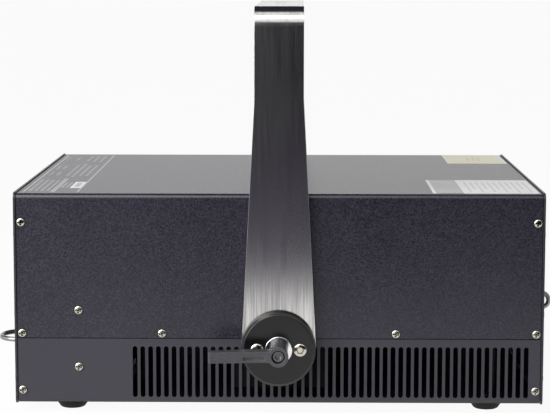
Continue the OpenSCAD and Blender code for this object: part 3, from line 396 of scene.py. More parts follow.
@dataclass(frozen=True)
class Moulded(Finish):
    """Moulded plastic or rubber with a fine spark-eroded texture."""

    texture_size: float = 1400.0
    mottle: float = 0.12
    coat: float = 0.0

    def constants(self) -> dict[str, float]:
        """Returns the weight of the clear coat."""
        return {"Coat Weight": self.coat}

    def surface(self, book: NodeBook, effects: Effects) -> tuple:
        """Adds the texture and a broad mottle. Returns its colour, roughness and height."""
        here = book.here()
        fine = book.noise(here, self.texture_size)
        broad = book.noise(here, 35.0, 4.0)
        lift = tuple(min(1.0, c * 1.5 + 0.01) for c in self.color)
        tone = book.mix(book.ramp(broad, 0.35, 0.7, 0.0, self.mottle * 3), solid(self.color), solid(lift))
        return tone, book.ramp(fine, 0.3, 0.7, self.roughness - 0.05, self.roughness + 0.08), fine


@dataclass(frozen=True)
class Sheeted(Finish):
    """Label film, print or felted board: one grain that shades colour, roughness and height.

    Attributes:
        scale: how fine the grain is.
        detail: octaves of the grain.
        twist: distortion of the grain.
        shade: share of the colour where the grain is darkest.
        share: how much of that dark is mixed in.
        span: grain values between which the colour changes.
        smoother: how much roughness is taken off at the grain's low end.
        rougher: how much roughness is added at its high end.
    """

    scale: float = 700.0
    detail: float = 3.0
    twist: float = 0.0
    shade: float = 0.8
    share: float = 0.15
    span: tuple = (0.3, 0.7)
    smoother: float = 0.04
    rougher: float = 0.06
    dirt: ClassVar[tuple] = (0.3, 0.29, 0.27)

    def surface(self, book: NodeBook, effects: Effects) -> tuple:
        """Adds the grain. Returns its colour, roughness and height."""
        grain = book.noise(book.here(), self.scale, self.detail, distortion=self.twist)
        dark = tuple(c * self.shade for c in self.color)
        tone = book.mix(book.ramp(grain, *self.span, 0.0, self.share), solid(self.color), solid(dark))
        rough = book.ramp(grain, 0.3, 0.7, self.roughness - self.smoother, self.roughness + self.rougher)
        return tone, rough, grain


FINISHES: tuple[Finish, ...] = (
    PowderCoat("cover_coat", (0.0058, 0.0052, 0.0110), 0.30, 0.00004, 0.01, fleck=(0.046, 0.042, 0.072),
               fleck_size=760.0, fleck_amount=0.75, edge=0.05, specular=0.62),
    PowderCoat("tray_coat", (0.030, 0.0285, 0.040), 0.40, 0.000008, 0.01, fleck=(0.06, 0.058, 0.075),
               fleck_size=1000.0, fleck_amount=0.3, edge=0.05),
    # Near-black, darker than real paint: painted shade for the unlit inside of the housing, on the tray's
    # inner faces and the pivot doublers.
    PowderCoat("inside_painted_shade", (0.0035, 0.0035, 0.004), 0.85, 0.00002, 0.0, fleck=(0.006, 0.006, 0.007),
               fleck_size=400.0, fleck_amount=0.2, edge=0.0, specular=0.08),
    PowderCoat("plate_coat", (0.016, 0.015, 0.022), 0.38, 0.00003, 0.02, fleck=(0.06, 0.058, 0.08),
               fleck_size=560.0, fleck_amount=0.4, edge=0.12),
    PowderCoat("clamp_coat", (0.004, 0.004, 0.005), 0.17, 0.000006, 0.02, fleck=(0.02, 0.02, 0.023),
               fleck_size=1500.0, fleck_amount=0.15, edge=0.15, specular=0.42),
    PowderCoat("lever_coat", (0.046, 0.044, 0.052), 0.30, 0.00002, 0.04, fleck=(0.12, 0.12, 0.13),
               fleck_size=1300.0, fleck_amount=0.3, edge=0.35),
    Metal("yoke_steel", (0.80, 0.785, 0.77), 0.175, 0.000005, 0.02, dark=(0.44, 0.435, 0.43), axis=Axis.Z,
          grain_size=800.0, grain_amount=1.0, spread=0.04),
    Metal("bright_nickel", (0.66, 0.63, 0.53), 0.14, 0.000002, 0.04, dark=(0.44, 0.41, 0.34),
          grain_amount=0.3, crevice=0.0014),
    Metal("chrome", (0.86, 0.86, 0.87), 0.07, 0.000002, 0.05, dark=(0.7, 0.7, 0.7), grain_amount=0.15),
    Metal("stud_steel", (0.66, 0.66, 0.68), 0.28, 0.000006, 0.08, dark=(0.45, 0.45, 0.46)),
    Metal("ring_steel", (0.36, 0.36, 0.35), 0.30, 0.000006, 0.06, dark=(0.20, 0.20, 0.195), grain_amount=0.6),
    Metal("dark_steel", (0.16, 0.16, 0.17), 0.32, 0.000006, 0.05, dark=(0.07, 0.07, 0.07)),
    Metal("mill_aluminium", (0.68, 0.69, 0.70), 0.36, 0.000008, 0.08, dark=(0.5, 0.5, 0.51), axis=Axis.X),
    Metal("black_zinc", (0.02, 0.02, 0.021), 0.50, 0.000008, 0.02, dark=(0.012, 0.012, 0.012), axis=Axis.X),
    Metal("zinc_plate", (0.60, 0.60, 0.58), 0.34, 0.000008, 0.10, dark=(0.42, 0.42, 0.40), axis=Axis.X),
    Metal("machined_brass", (0.74, 0.55, 0.24), 0.26, 0.000006, 0.06, dark=(0.5, 0.36, 0.15)),
    Metal("heat_tinted", (0.50, 0.42, 0.33), 0.34, 0.000006, 0.06, dark=(0.3, 0.24, 0.25)),
    Moulded("black_moulding", (0.018, 0.018, 0.019), 0.46, 0.00002, 0.05),
    Moulded("foot_rubber", (0.0015, 0.0015, 0.0015), 0.80, 0.00003, 0.0, texture_size=900.0, mottle=0.0),
    Moulded("grey_moulding", (0.16, 0.165, 0.18), 0.44, 0.00001, 0.04),
    Moulded("red_moulding", (0.36, 0.022, 0.018), 0.30, 0.000006, 0.04, coat=0.3),
    # Dark grey for the fluid tank: painted shade of the unlit inside of the housing, where the tank would
    # show lit through the slots.
    Moulded("tank_painted_shade", (0.045, 0.047, 0.05), 0.42, 0.00001, 0.04),
    Moulded("amber_hose", (0.58, 0.48, 0.28), 0.32, 0.000006, 0.03, coat=0.3),
    Moulded("green_board", (0.012, 0.11, 0.04), 0.34, 0.000008, 0.02, coat=0.4),
    Moulded("smoked_window", (0.006, 0.007, 0.009), 0.08, 0.000001, 0.02, coat=1.0),
    Moulded("unlit_segments", (0.030, 0.034, 0.040), 0.16, 0.000001, 0.0, coat=1.0),
    Sheeted("fibre_board", (0.42, 0.40, 0.36), 0.95, 0.0002, 0.0, scale=300.0, detail=8.0, twist=1.5,
            shade=0.7, share=1.0, span=(0.35, 0.65), smoother=0.1, rougher=0.05),
    Sheeted("white_label", (0.80, 0.80, 0.80), 0.34, 0.000004, 0.03),
    Sheeted("grey_label", (0.42, 0.42, 0.43), 0.36, 0.000004, 0.03),
    Sheeted("yellow_label", (0.78, 0.75, 0.52), 0.34, 0.000004, 0.03),
    Sheeted("printed_rule", (0.66, 0.66, 0.68), 0.42, 0.000004, 0.0),
    Sheeted("printed_block", (0.36, 0.36, 0.38), 0.42, 0.000004, 0.0),
    Sheeted("faint_rule", (0.60, 0.61, 0.61), 0.36, 0.000004, 0.0),
    Sheeted("straw_rule", (0.62, 0.58, 0.36), 0.36, 0.000004, 0.0),
)


# ---------------------------------------------------------------- mesh helpers


FRAME: dict = {}
MERGE_DISTANCE = 1e-6


def new_object(name: str, mesh: bpy.types.Mesh) -> bpy.types.Object:
    """Links a mesh to the scene as an object at the origin. Returns the object."""
    piece = bpy.data.objects.new(name, mesh)
    bpy.context.scene.collection.objects.link(piece)
    return piece


def smooth(mesh: bpy.types.Mesh, sharp_deg: float) -> None:
    """Shades a mesh smooth, but for edges sharper than an angle."""
    mesh.polygons.foreach_set("use_smooth", [True] * len(mesh.polygons))
    mesh.set_sharp_from_angle(angle=math.radians(sharp_deg))


def from_bmesh(name: str, bm: bmesh.types.BMesh, sharp_deg: float = 35.0) -> bpy.types.Object:
    """Turns a bmesh into a smooth-shaded object, and frees it. Returns the object."""
    mesh = bpy.data.meshes.new(name)
    bm.to_mesh(mesh)
    bm.free()
    smooth(mesh, sharp_deg)
    return new_object(name, mesh)


def box_mesh(bm: bmesh.types.BMesh, low: Vector | tuple, high: Vector | tuple, bevel: float = 0.0) -> None:
    """Adds a box between two corners, with rounded edges if bevel is set."""
    low, high = Vector(low), Vector(high)
    made = bmesh.ops.create_cube(bm, size=1.0)["verts"]
    for vert in made:
        vert.co = low + Vector((vert.co[i] + 0.5) * (high[i] - low[i]) for i in range(3))
    if bevel:
        edges = {edge for vert in made for edge in vert.link_edges}
        bmesh.ops.bevel(bm, geom=list(edges), offset=bevel, segments=2, affect="EDGES", profile=0.6)


def lathe_mesh(bm: bmesh.types.BMesh, outline: list[tuple[float, float]], place: Matrix, steps: int) -> None:
    """Adds a closed body turned about +Z.

    Args:
        bm: the mesh that it is added to.
        outline: (radius, height) points from one pole to the other.
        place: where the body stands.
        steps: number of flats round it.
    """
    rings = []
    for radius, height in outline:
        turns = [math.tau * i / steps for i in range(steps if radius else 1)]
        rings.append([bm.verts.new(place @ Vector((radius * math.cos(a), radius * math.sin(a), height)))
                      for a in turns])
    faces = []
    for low, high in zip(rings, rings[1:]):
        for i in range(steps):
            j = (i + 1) % steps
            if len(low) == 1:
                faces.append(bm.faces.new((low[0], high[j], high[i])))
            elif len(high) == 1:
                faces.append(bm.faces.new((low[i], low[j], high[0])))
            else:
                faces.append(bm.faces.new((low[i], low[j], high[j], high[i])))
    bmesh.ops.recalc_face_normals(bm, faces=faces)


def facing_matrix(seat: Vector | tuple, facing: Facing) -> Matrix:
    """Returns the matrix that stands +Z on a seat, pointing along the facing."""
    turn = Vector((0, 0, 1)).rotation_difference(Vector(facing.value)).to_matrix().to_4x4()
    return Matrix.Translation(Vector(seat)) @ turn


def baked_copy(piece: bpy.types.Object) -> bpy.types.Mesh:
    """Returns a plain mesh of an object with its modifiers applied."""
    graph = bpy.context.evaluated_depsgraph_get()
    graph.update()
    return bpy.data.meshes.new_from_object(piece.evaluated_get(graph), depsgraph=graph)


def bake(piece: bpy.types.Object) -> None:
    """Replaces an object's modifiers by their result."""
    mesh = baked_copy(piece)
    piece.modifiers.clear()
    piece.data = mesh


def node_mesh(node: str) -> bmesh.types.BMesh:
    """Returns a copy of a CAD node's mesh with its loose triangles joined."""
    bm = bmesh.new()
    bm.from_mesh(FRAME["nodes"][node].data)
    bmesh.ops.remove_doubles(bm, verts=bm.verts, dist=MERGE_DISTANCE)
    return bm


def softened(node: str, name: str, width: float, angle_deg: float, segments: int) -> bpy.types.Object:
    """Copies a CAD node, joins its flat faces and rounds its edges.

    Args:
        node: the CAD node.
        name: the new piece's name.
        width: width of the rounding, or 0 for none.
        angle_deg: edges sharper than this are rounded.
        segments: steps across the rounding.

    Returns:
        The new piece, with the modifiers applied.
    """
    bm = node_mesh(node)
    bmesh.ops.dissolve_limit(bm, angle_limit=math.radians(0.6), verts=bm.verts, edges=bm.edges)
    piece = from_bmesh(name, bm, angle_deg)
    if width > 0:
        modifier = piece.modifiers.new("soft_edges", "BEVEL")
        modifier.width = width
        modifier.segments = segments
        modifier.limit_method = "ANGLE"
        modifier.angle_limit = math.radians(angle_deg)
        modifier.use_clamp_overlap = True
        modifier.miter_outer = "MITER_ARC"
        piece.modifiers.new("flat_faces", "WEIGHTED_NORMAL").keep_sharp = True
        bake(piece)
    return piece


def node_box(node: str) -> tuple[Vector, Vector]:
    """Returns the lowest and highest corner of a CAD node at rest."""
    low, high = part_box(node)
    return Vector(low), Vector(high)


def loose_boxes(node: str) -> list[tuple[Vector, Vector]]:
    """Returns the lowest and highest corner of each separate solid of a CAD node."""
    bm = node_mesh(node)
    bm.verts.ensure_lookup_table()
    seen: set[int] = set()
    boxes = []
    for start in bm.verts:
        if start.index in seen:
            continue
        seen.add(start.index)
        stack, part = [start], []
        while stack:
            vert = stack.pop()
            part.append(vert.co.copy())
            fresh = [edge.other_vert(vert) for edge in vert.link_edges]
            fresh = [other for other in fresh if other.index not in seen]
            seen.update(other.index for other in fresh)
            stack += fresh
        boxes.append(tuple(Vector(pick(p[i] for p in part) for i in range(3)) for pick in (min, max)))
    bm.free()
    return boxes


def dress(piece: bpy.types.Object, finish: bpy.types.Material) -> None:
    """Gives a piece one finish all over."""
    piece.data.materials.clear()
    piece.data.materials.append(finish)


def attach(piece: bpy.types.Object, body: str, finish: bpy.types.Material | None = None) -> None:
    """Makes a piece ride on a body and report, in a finish unless its mesh already has one."""
    if finish is not None:
        dress(piece, finish)
    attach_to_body(piece, body)
    LOG.info("%s rides on %s, %d faces", piece.name, body, len(piece.data.polygons))


def settle(piece: bpy.types.Object, node: str, finish: bpy.types.Material | None = None) -> bpy.types.Object:
    """Lets a piece stand for a CAD node: it rides on the node's body, in a finish if one is given, and the
    node is hidden. Returns the piece.
    """
    bodies = FRAME["record"]["behaviour"]["bodies"]
    attach(piece, next(body for body, nodes in bodies.items() if node in nodes), finish)
    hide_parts(node)
    return piece


# ---------------------------------------------------------------- geometry node trees


class TreeTool:
    """Base of the Geometry Nodes trees: named inputs, one modifier run, one plain mesh."""

    name = ""
    inputs: dict[str, object] = {}

    def __init__(self) -> None:
        """Builds the tree with its sockets and its closing nodes."""
        self.tree = bpy.data.node_groups.new(self.name, "GeometryNodeTree")
        self.book = NodeBook(self.tree)
        for way in ("OUTPUT", "INPUT"):
            self.tree.interface.new_socket("Geometry", in_out=way, socket_type="NodeSocketGeometry")
        add_inputs(self.tree, {**self.inputs, "Finish": None})
        ins = self.tree.nodes.new("NodeGroupInput").outputs
        plain = self.book.add("GeometryNodeRealizeInstances", {"Geometry": self.shape(ins)})
        dressed = self.book.add("GeometryNodeSetMaterial", {
            "Geometry": plain.outputs["Geometry"], "Material": ins["Finish"]})
        self.book.add("NodeGroupOutput", {"Geometry": dressed.outputs["Geometry"]})

    def shape(self, ins: bpy.types.NodeOutputs) -> bpy.types.NodeSocket:
        """Adds the nodes of the shape. Returns its geometry socket."""
        raise NotImplementedError

    def run(self, name: str, seed_mesh: bpy.types.Mesh, values: dict) -> bpy.types.Object:
        """Runs the tree once and keeps its result as a plain mesh.

        Args:
            name: the new piece's name.
            seed_mesh: the mesh that the tree starts from.
            values: input name to its value.

        Returns:
            The piece, with no modifier left on it.
        """
        piece = new_object(name, seed_mesh)
        modifier = piece.modifiers.new(self.name, "NODES")
        modifier.node_group = self.tree
        for item in self.tree.interface.items_tree:
            if item.item_type == "SOCKET" and item.in_out == "INPUT" and item.name in values:
                modifier[item.identifier] = values[item.name]
        bake(piece)
        smooth(piece.data, 40.0)
        piece.data.update()
        return piece

    def turned(self, geometry: object, move: object = (0, 0, 0), turn: object = (0, 0, 0),
               scale: object = (1, 1, 1)) -> bpy.types.NodeSocket:
        """Adds a Transform Geometry node and returns its result."""
        values = {"Geometry": geometry, "Translation": move, "Rotation": turn, "Scale": scale}
        return self.book.add("GeometryNodeTransform", values).outputs["Geometry"]

    def solid(self, kind: str, values: dict) -> bpy.types.NodeSocket:
        """Adds a mesh primitive and returns its mesh."""
        return self.book.add("GeometryNodeMesh" + kind, values).outputs["Mesh"]

    def vector(self, x: object = 0.0, y: object = 0.0, z: object = 0.0) -> bpy.types.NodeSocket:
        """Adds a Combine XYZ node and returns its vector."""
        return self.book.add("ShaderNodeCombineXYZ", {0: x, 1: y, 2: z}).outputs[0]

    def attribute(self, name: str) -> bpy.types.NodeSocket:
        """Adds a Named Attribute node for a vector and returns its value."""
        node = self.book.add("GeometryNodeInputNamedAttribute", data_type="FLOAT_VECTOR")
        self.book.feed(node, "Name", name)
        return node.outputs[0]

    def on_points(self, points: object, instance: object, **ways: object) -> bpy.types.NodeSocket:
        """Puts an instance on every point and returns the result."""
        values = {"Points": points, "Instance": instance, **{key.title(): way for key, way in ways.items()}}
        return self.book.add("GeometryNodeInstanceOnPoints", values).outputs[0]


def point_mesh(name: str, points: list[tuple], attribute: str = "",
               values: list[tuple] | None = None) -> bpy.types.Mesh:
    """Makes a mesh of loose points that each carry a vector, for a tree to start from.

    Args:
        name: the mesh's name.
        points: place of each point, or none for a tree that makes all its own geometry.
        attribute: name of the vector.
        values: the vector of each point.

    Returns:
        The mesh.
    """
    mesh = bpy.data.meshes.new(name)
    mesh.from_pydata(points, [], [])
    if values:
        layer = mesh.attributes.new(attribute, "FLOAT_VECTOR", "POINT")
        for item, value in zip(layer.data, values):
            item.vector = value
    return mesh


class ScrewTree(TreeTool):
    """Domed screws on seats, with a cross recess or a hexagon socket, turned at random."""

    name = "domed_screws"
    inputs = {
        "Head Radius": 0.004, "Head Height": 0.0024, "Recess Size": 0.0060, "Recess Width": 0.0019,
        "Recess Depth": 0.0019, "Hexagon": False, "Rim Share": 0.4, "Shank Radius": 0.002,
        "Shank Length": 0.006, "Twist": 0.0, "Twist Range": 0.2, "Seed": SEED}

    def shape(self, ins: bpy.types.NodeOutputs) -> bpy.types.NodeSocket:
        """Adds the head, its recess, the shank and the instances. Returns the geometry."""
        book = self.book
        rim = book.math("MULTIPLY", ins["Head Height"], ins["Rim Share"])
        dome = book.math("SUBTRACT", ins["Head Height"], rim)
        disc = self.solid("Cylinder", {"Vertices": 40, "Radius": ins["Head Radius"], "Depth": rim})
        disc = self.turned(disc, self.vector(z=book.math("MULTIPLY", rim, 0.5)))
        ball = self.solid("UVSphere", {"Segments": 40, "Rings": 20, "Radius": ins["Head Radius"]})
        flat = book.math("DIVIDE", dome, ins["Head Radius"])
        ball = self.turned(ball, self.vector(z=rim), (0, 0, 0), self.vector(1.0, 1.0, flat))
        head = self.boolean("UNION", None, [disc, ball])
        top = self.vector(z=ins["Head Height"])
        deep = book.math("MULTIPLY", ins["Recess Depth"], 2.0)
        long, wide = ins["Recess Size"], ins["Recess Width"]
        bars = [self.turned(self.solid("Cube", {"Size": self.vector(*sides, deep)}), top)
                for sides in ((long, wide), (wide, long))]
        half = book.math("MULTIPLY", long, 0.5)
        six = self.solid("Cylinder", {"Vertices": 6, "Depth": deep, "Radius": half})
        pick = book.add("GeometryNodeSwitch", input_type="GEOMETRY")
        book.feed(pick, "Switch", ins["Hexagon"])
        book.feed(pick, "False", self.boolean("DIFFERENCE", head, bars))
        book.feed(pick, "True", self.boolean("DIFFERENCE", head, [self.turned(six, top)]))
        shank = self.solid("Cylinder", {"Vertices": 20, "Radius": ins["Shank Radius"],
                                        "Depth": ins["Shank Length"]})
        shank = self.turned(shank, self.vector(z=book.math("MULTIPLY", ins["Shank Length"], -0.5)))
        screw = self.tree.nodes.new("GeometryNodeJoinGeometry")
        for part in (pick.outputs[0], shank):
            book.feed(screw, 0, part)
        align = book.add("FunctionNodeAlignRotationToVector", {"Vector": self.attribute("facing")}, axis="Z")
        angle = book.add("FunctionNodeRandomValue", data_type="FLOAT")
        book.feed(angle, 2, book.math("SUBTRACT", ins["Twist"], ins["Twist Range"]))
        book.feed(angle, 3, book.math("ADD", ins["Twist"], ins["Twist Range"]))
        book.feed(angle, "Seed", ins["Seed"])
        twist = book.add("FunctionNodeAxisAngleToRotation", {"Axis": (0, 0, 1), "Angle": angle.outputs[1]})
        both = book.add("FunctionNodeRotateRotation", {
            "Rotation": align.outputs[0], "Rotate By": twist.outputs[0]}, rotation_space="LOCAL")
        return self.on_points(ins["Geometry"], screw.outputs[0], rotation=both.outputs[0])

    def boolean(self, operation: str, base: bpy.types.NodeSocket | None,
                parts: list[bpy.types.NodeSocket]) -> bpy.types.NodeSocket:
        """Adds a Mesh Boolean node and returns its mesh."""
        node = self.book.add("GeometryNodeMeshBoolean", operation=operation, solver="EXACT")
        if base is not None:
            self.book.feed(node, "Mesh 1", base)
        for part in parts:
            self.book.feed(node, "Mesh 2", part)
        return node.outputs["Mesh"]

    def place(self, name: str, seats: list[tuple[Vector, Facing]], finish: bpy.types.Material,
              **sizes: object) -> bpy.types.Object:
        """Puts a screw on every seat.

        Args:
            name: the piece's name.
            seats: place and facing of each seat.
            finish: the screws' finish.
            sizes: tree inputs, with underscores for spaces.

        Returns:
            One piece with all the screws.
        """
        values = {key.replace("_", " ").title(): value for key, value in sizes.items()}
        mesh = point_mesh(name, [tuple(spot) for spot, _ in seats], "facing", [way.value for _, way in seats])
        return self.run(name, mesh, {**values, "Finish": finish})


class SpringTree(TreeTool):
    """Helical spring of round wire, moved and turned to its place."""

    name = "coil_spring"
    inputs = {"Radius": 0.005, "Wire Radius": 0.0007, "Length": 0.01, "Turns": 5.0,
              "Place": (0.0, 0.0, 0.0), "Turn": (0.0, 0.0, 0.0)}

    def shape(self, ins: bpy.types.NodeOutputs) -> bpy.types.NodeSocket:
        """Adds the spiral and its wire. Returns the geometry."""
        spiral = self.book.add("GeometryNodeCurveSpiral", {
            "Resolution": 24, "Rotations": ins["Turns"], "Start Radius": ins["Radius"],
            "End Radius": ins["Radius"], "Height": ins["Length"]})
        wire = self.book.add("GeometryNodeCurvePrimitiveCircle", {
            "Resolution": 10, "Radius": ins["Wire Radius"]})
        tube = self.book.add("GeometryNodeCurveToMesh", {
            "Curve": spiral.outputs["Curve"], "Profile Curve": wire.outputs["Curve"], "Fill Caps": True})
        return self.turned(tube.outputs["Mesh"], ins["Place"], ins["Turn"])


class RibTree(TreeTool):
    """Ribs stood round a ring about +Z, then moved to their place."""

    name = "ribs_round_a_ring"
    inputs = {"Count": 24, "Ring Radius": 0.02, "Rib Size": (0.0, 0.0, 0.0),
              "Place": (0.0, 0.0, 0.0), "Turn": (0.0, 0.0, 0.0)}

    def shape(self, ins: bpy.types.NodeOutputs) -> bpy.types.NodeSocket:
        """Adds one rib and spreads it round the ring. Returns the geometry."""
        ring = self.solid("Circle", {"Vertices": ins["Count"], "Radius": ins["Ring Radius"]})
        rib = self.solid("Cube", {"Size": ins["Rib Size"]})
        here = self.tree.nodes.new("GeometryNodeInputPosition").outputs[0]
        align = self.book.add("FunctionNodeAlignRotationToVector", {"Vector": here}, axis="X", pivot_axis="Z")
        return self.turned(self.on_points(ring, rib, rotation=align.outputs[0]), ins["Place"], ins["Turn"])


class PlateTree(TreeTool):
    """Thin plates on points, each as large as its point's own size."""

    name = "thin_plates"
    inputs = {"Thickness": 0.00005}

    def shape(self, ins: bpy.types.NodeOutputs) -> bpy.types.NodeSocket:
        """Adds the unit plate and its instances. Returns the geometry."""
        plate = self.solid("Cube", {"Size": self.vector(1.0, 1.0, ins["Thickness"])})
        return self.on_points(ins["Geometry"], plate, scale=self.attribute("size"))

    def place(self, name: str, plates: list[tuple[float, float, float, float]], z: float, thickness: float,
              finish: bpy.types.Material) -> bpy.types.Object:
        """Lays a plate on every rectangle.

        Args:
            name: the piece's name.
            plates: (low x, high x, low y, high y) of each plate.
            z: height of the plates' middles.
            thickness: their thickness.
            finish: their finish.

        Returns:
            One piece with all the plates.
        """
        mesh = point_mesh(name, [((a + b) / 2, (c + d) / 2, z) for a, b, c, d in plates], "size",
                          [(b - a, d - c, 1.0) for a, b, c, d in plates])
        return self.run(name, mesh, {"Thickness": thickness, "Finish": finish})


class Workshop:
    """The finishes and the trees that every sub-assembly uses."""

    def __init__(self) -> None:
        """Builds every finish and every tree once."""
        effects = Effects()
        self.made = {finish.name: finish.build(effects) for finish in FINISHES}
        self.screws, self.springs, self.ribs, self.plates = ScrewTree(), SpringTree(), RibTree(), PlateTree()

    def finish(self, name: str) -> bpy.types.Material:
        """Returns a finish by its name."""
        return self.made[name]

    def soften(self, nodes: str, finish: str, width_mm: float, angle_deg: float = 30.0,
               segments: int = 2) -> bpy.types.Object:
        """Replaces CAD nodes by copies with rounded edges and a finish. Returns the last copy."""
        for node in nodes.split():
            piece = softened(node, node + "_skin", width_mm * MM, angle_deg, segments)
            settle(piece, node, self.finish(finish))
        return piece


# ---------------------------------------------------------------- sub-assemblies


@dataclass
class PlainParts:
    """Parts that keep their CAD shape and get rounded edges and a finish.

    Attributes:
        shop: the finishes and trees.
        rows: finish, width of the rounding in millimetres, least angle in degrees, and nodes.
    """

    shop: Workshop
    rows: tuple = (
        ("ring_steel", 0.3, 50.0, "rear_loop front_eye"),
        ("mill_aluminium", 0.4, 35.0, "heater_block"),
        ("heat_tinted", 0.4, 35.0, "heater_cartridges"),
        ("fibre_board", 0.4, 35.0, "heater_insulation"),
        ("black_zinc", 0.4, 35.0, "heater_cradle pump_bracket"),
        ("black_moulding", 0.4, 35.0, "thermal_cutout filler_neck"),
        ("machined_brass", 0.4, 35.0, "nozzle"),
        ("clamp_coat", 0.4, 35.0, "nozzle_guard"),
        # The fluid tank is coloured dark as painted shade of the housing's inside.
        ("tank_painted_shade", 0.4, 35.0, "fluid_tank"),
        ("dark_steel", 0.4, 35.0, "fluid_pump"),
        ("amber_hose", 0.4, 35.0, "fluid_hoses"),
        ("black_moulding", 0.4, 30.0, "fan_frames power_switch_frame fuse_holder"),
        ("black_moulding", 0.3, 30.0, "fan_rotor_1 fan_rotor_2"),
        ("black_zinc", 0.3, 30.0, "fan_bracket"),
        ("mill_aluminium", 0.4, 30.0, "power_supply"),
        ("black_moulding", 0.0, 30.0, "wiring_loom"),
        ("green_board", 0.2, 30.0, "control_board"),
        ("smoked_window", 0.3, 30.0, "display_window"),
        ("black_moulding", 0.5, 30.0, "mains_inlet"),
        ("red_moulding", 0.5, 30.0, "power_switch_rocker"),
        ("stud_steel", 0.4, 30.0, "data_sockets"),
        ("grey_moulding", 0.6, 30.0, "menu_button_1 menu_button_2 menu_button_3 menu_button_4"),
    )

    def build(self) -> None:
        """Builds and dresses every row."""
        for finish, width, angle, nodes in self.rows:
            self.shop.soften(nodes, finish, width, angle)


@dataclass
class Housing:
    """Folded cover and tray, end plates, frame, feet and their screws.

    Attributes:
        shop: the finishes and trees.
        head_height: height of the sheet screws' heads.
        flat_head_height: height of the end plates' heads.
        sheet_skin: depth from the tray's outside at which its inside begins.
        upright: how squarely a face points along an axis.
        guard_reach: how far from the middle the nozzle guard's screws lie at most.
        guard_seat: how much lower the guard's heads are than the others.
        round_slack: by how much the two sides of a round head's box may differ.
    """

    shop: Workshop
    head_height: float = 2.4 * MM
    flat_head_height: float = 1.2 * MM
    sheet_skin: float = 0.6 * MM
    upright: float = 0.7
    guard_reach: float = 100 * MM
    guard_seat: float = 0.6 * MM
    round_slack: float = 0.2 * MM

    def build(self) -> None:
        """Builds and dresses the housing."""
        self.shop.soften("top_cover", "cover_coat", 0.35)
        tray = self.shop.soften("bottom_tray", "tray_coat", 0.3, 40.0, 1)
        # The tray's inner faces get the near-black painted shade of the housing's inside.
        self.paint_inside_shade(tray, self.shop.finish("inside_painted_shade"))
        self.shop.soften("front_plate rear_plate", "plate_coat", 0.7)
        self.shop.soften("corner_posts mid_deck deck_pillars tie_bracket", "black_zinc", 0.3)
        # The pivot doublers, seen through the slots, get the same near-black painted shade.
        self.shop.soften("pivot_doublers", "inside_painted_shade", 0.3)
        self.shop.soften("rubber_feet", "foot_rubber", 0.8)
        self.screws()

    def paint_inside_shade(self, shell: bpy.types.Object, finish: bpy.types.Material) -> None:
        """Paints the faces on the inside of a folded shell with a second finish, a near-black painted shade
        for the unlit inside of the housing.
        """
        low, high = (Vector(corner) for corner in (shell.bound_box[0], shell.bound_box[6]))
        shell.data.materials.append(finish)
        for face in shell.data.polygons:
            centre, normal = face.center, face.normal
            within = centre.z > low.z + self.sheet_skin and abs(centre.y) < high.y - self.sheet_skin
            outward = normal.y * centre.y > 0 and abs(normal.y) > self.upright
            if within and not outward and abs(normal.x) < self.upright:
                face.material_index = 1

    def seats(self, node: str, *facings: Facing) -> list[tuple[Vector, Facing]]:
        """Finds the seats of a node's screws.

        Args:
            node: the CAD node of the screws.
            facings: the ways that the heads face.

        Returns:
            Place on the seated face and facing of each screw, one way after the other.
        """
        seats = []
        for facing in facings:
            way = Vector(facing.value)
            axis = max(range(3), key=lambda i: abs(way[i]))
            across = [i for i in range(3) if i != axis]
            for low, high in loose_boxes(node):
                size, place = high - low, (low + high) / 2
                if abs(size[across[0]] - size[across[1]]) > self.round_slack:
                    continue
                if place[axis] * way[axis] < 0 and facing is not Facing.DOWN:
                    continue
                outer = high[axis] if way[axis] > 0 else low[axis]
                place[axis] = outer - way[axis] * self.head_height
                seats.append((place, facing))
        return seats

    def heads(self, name: str, seats: list[tuple[Vector, Facing]], **sizes: float) -> bpy.types.Object:
        """Puts nickel-plated screws on seats, of the usual size but for what is given. Returns the piece."""
        sizes = {"head_height": self.head_height, **sizes}
        return self.shop.screws.place(name, seats, self.shop.finish("bright_nickel"), **sizes)

    def screws(self) -> None:
        """Puts the screws on all faces of the housing."""
        for node in ("cover_screws", "tray_screws"):
            seats = self.seats(node, Facing.NEAR, Facing.FAR)
            settle(self.heads(node + "_heads", seats, shank_length=4.5 * MM), node)
        ends = self.seats("end_plate_screws", Facing.FRONT, Facing.REAR)
        plates = [seat for seat in ends if abs(seat[0].y) >= self.guard_reach]
        settle(self.heads("end_plate_screw_heads", plates, head_height=self.flat_head_height,
                          recess_depth=0.9 * MM, shank_length=7 * MM), "end_plate_screws")
        guard = [(place + Vector((self.guard_seat, 0, 0)), way) for place, way in ends
                 if abs(place.y) < self.guard_reach]
        attach(self.heads("guard_screw_heads", guard, head_radius=2.8 * MM, head_height=1.8 * MM,
                          recess_size=3.2 * MM, recess_width=0.9 * MM, recess_depth=1.0 * MM,
                          shank_radius=1.5 * MM, shank_length=7 * MM), "housing")
        seats = self.seats("foot_screws", Facing.DOWN)
        settle(self.heads("foot_screw_heads", seats, shank_length=8 * MM), "foot_screws")


@dataclass(frozen=True)
class PrintBlock:
    """Plain strokes side by side that stand for a block of print, in millimetres.

    Attributes:
        first: place of the first stroke along the machine.
        last: place of the last stroke.
        strokes: number of strokes.
        low: end of the block on the near side.
        high: end of the block on the far side.
    """

    first: float
    last: float
    strokes: int
    low: float
    high: float


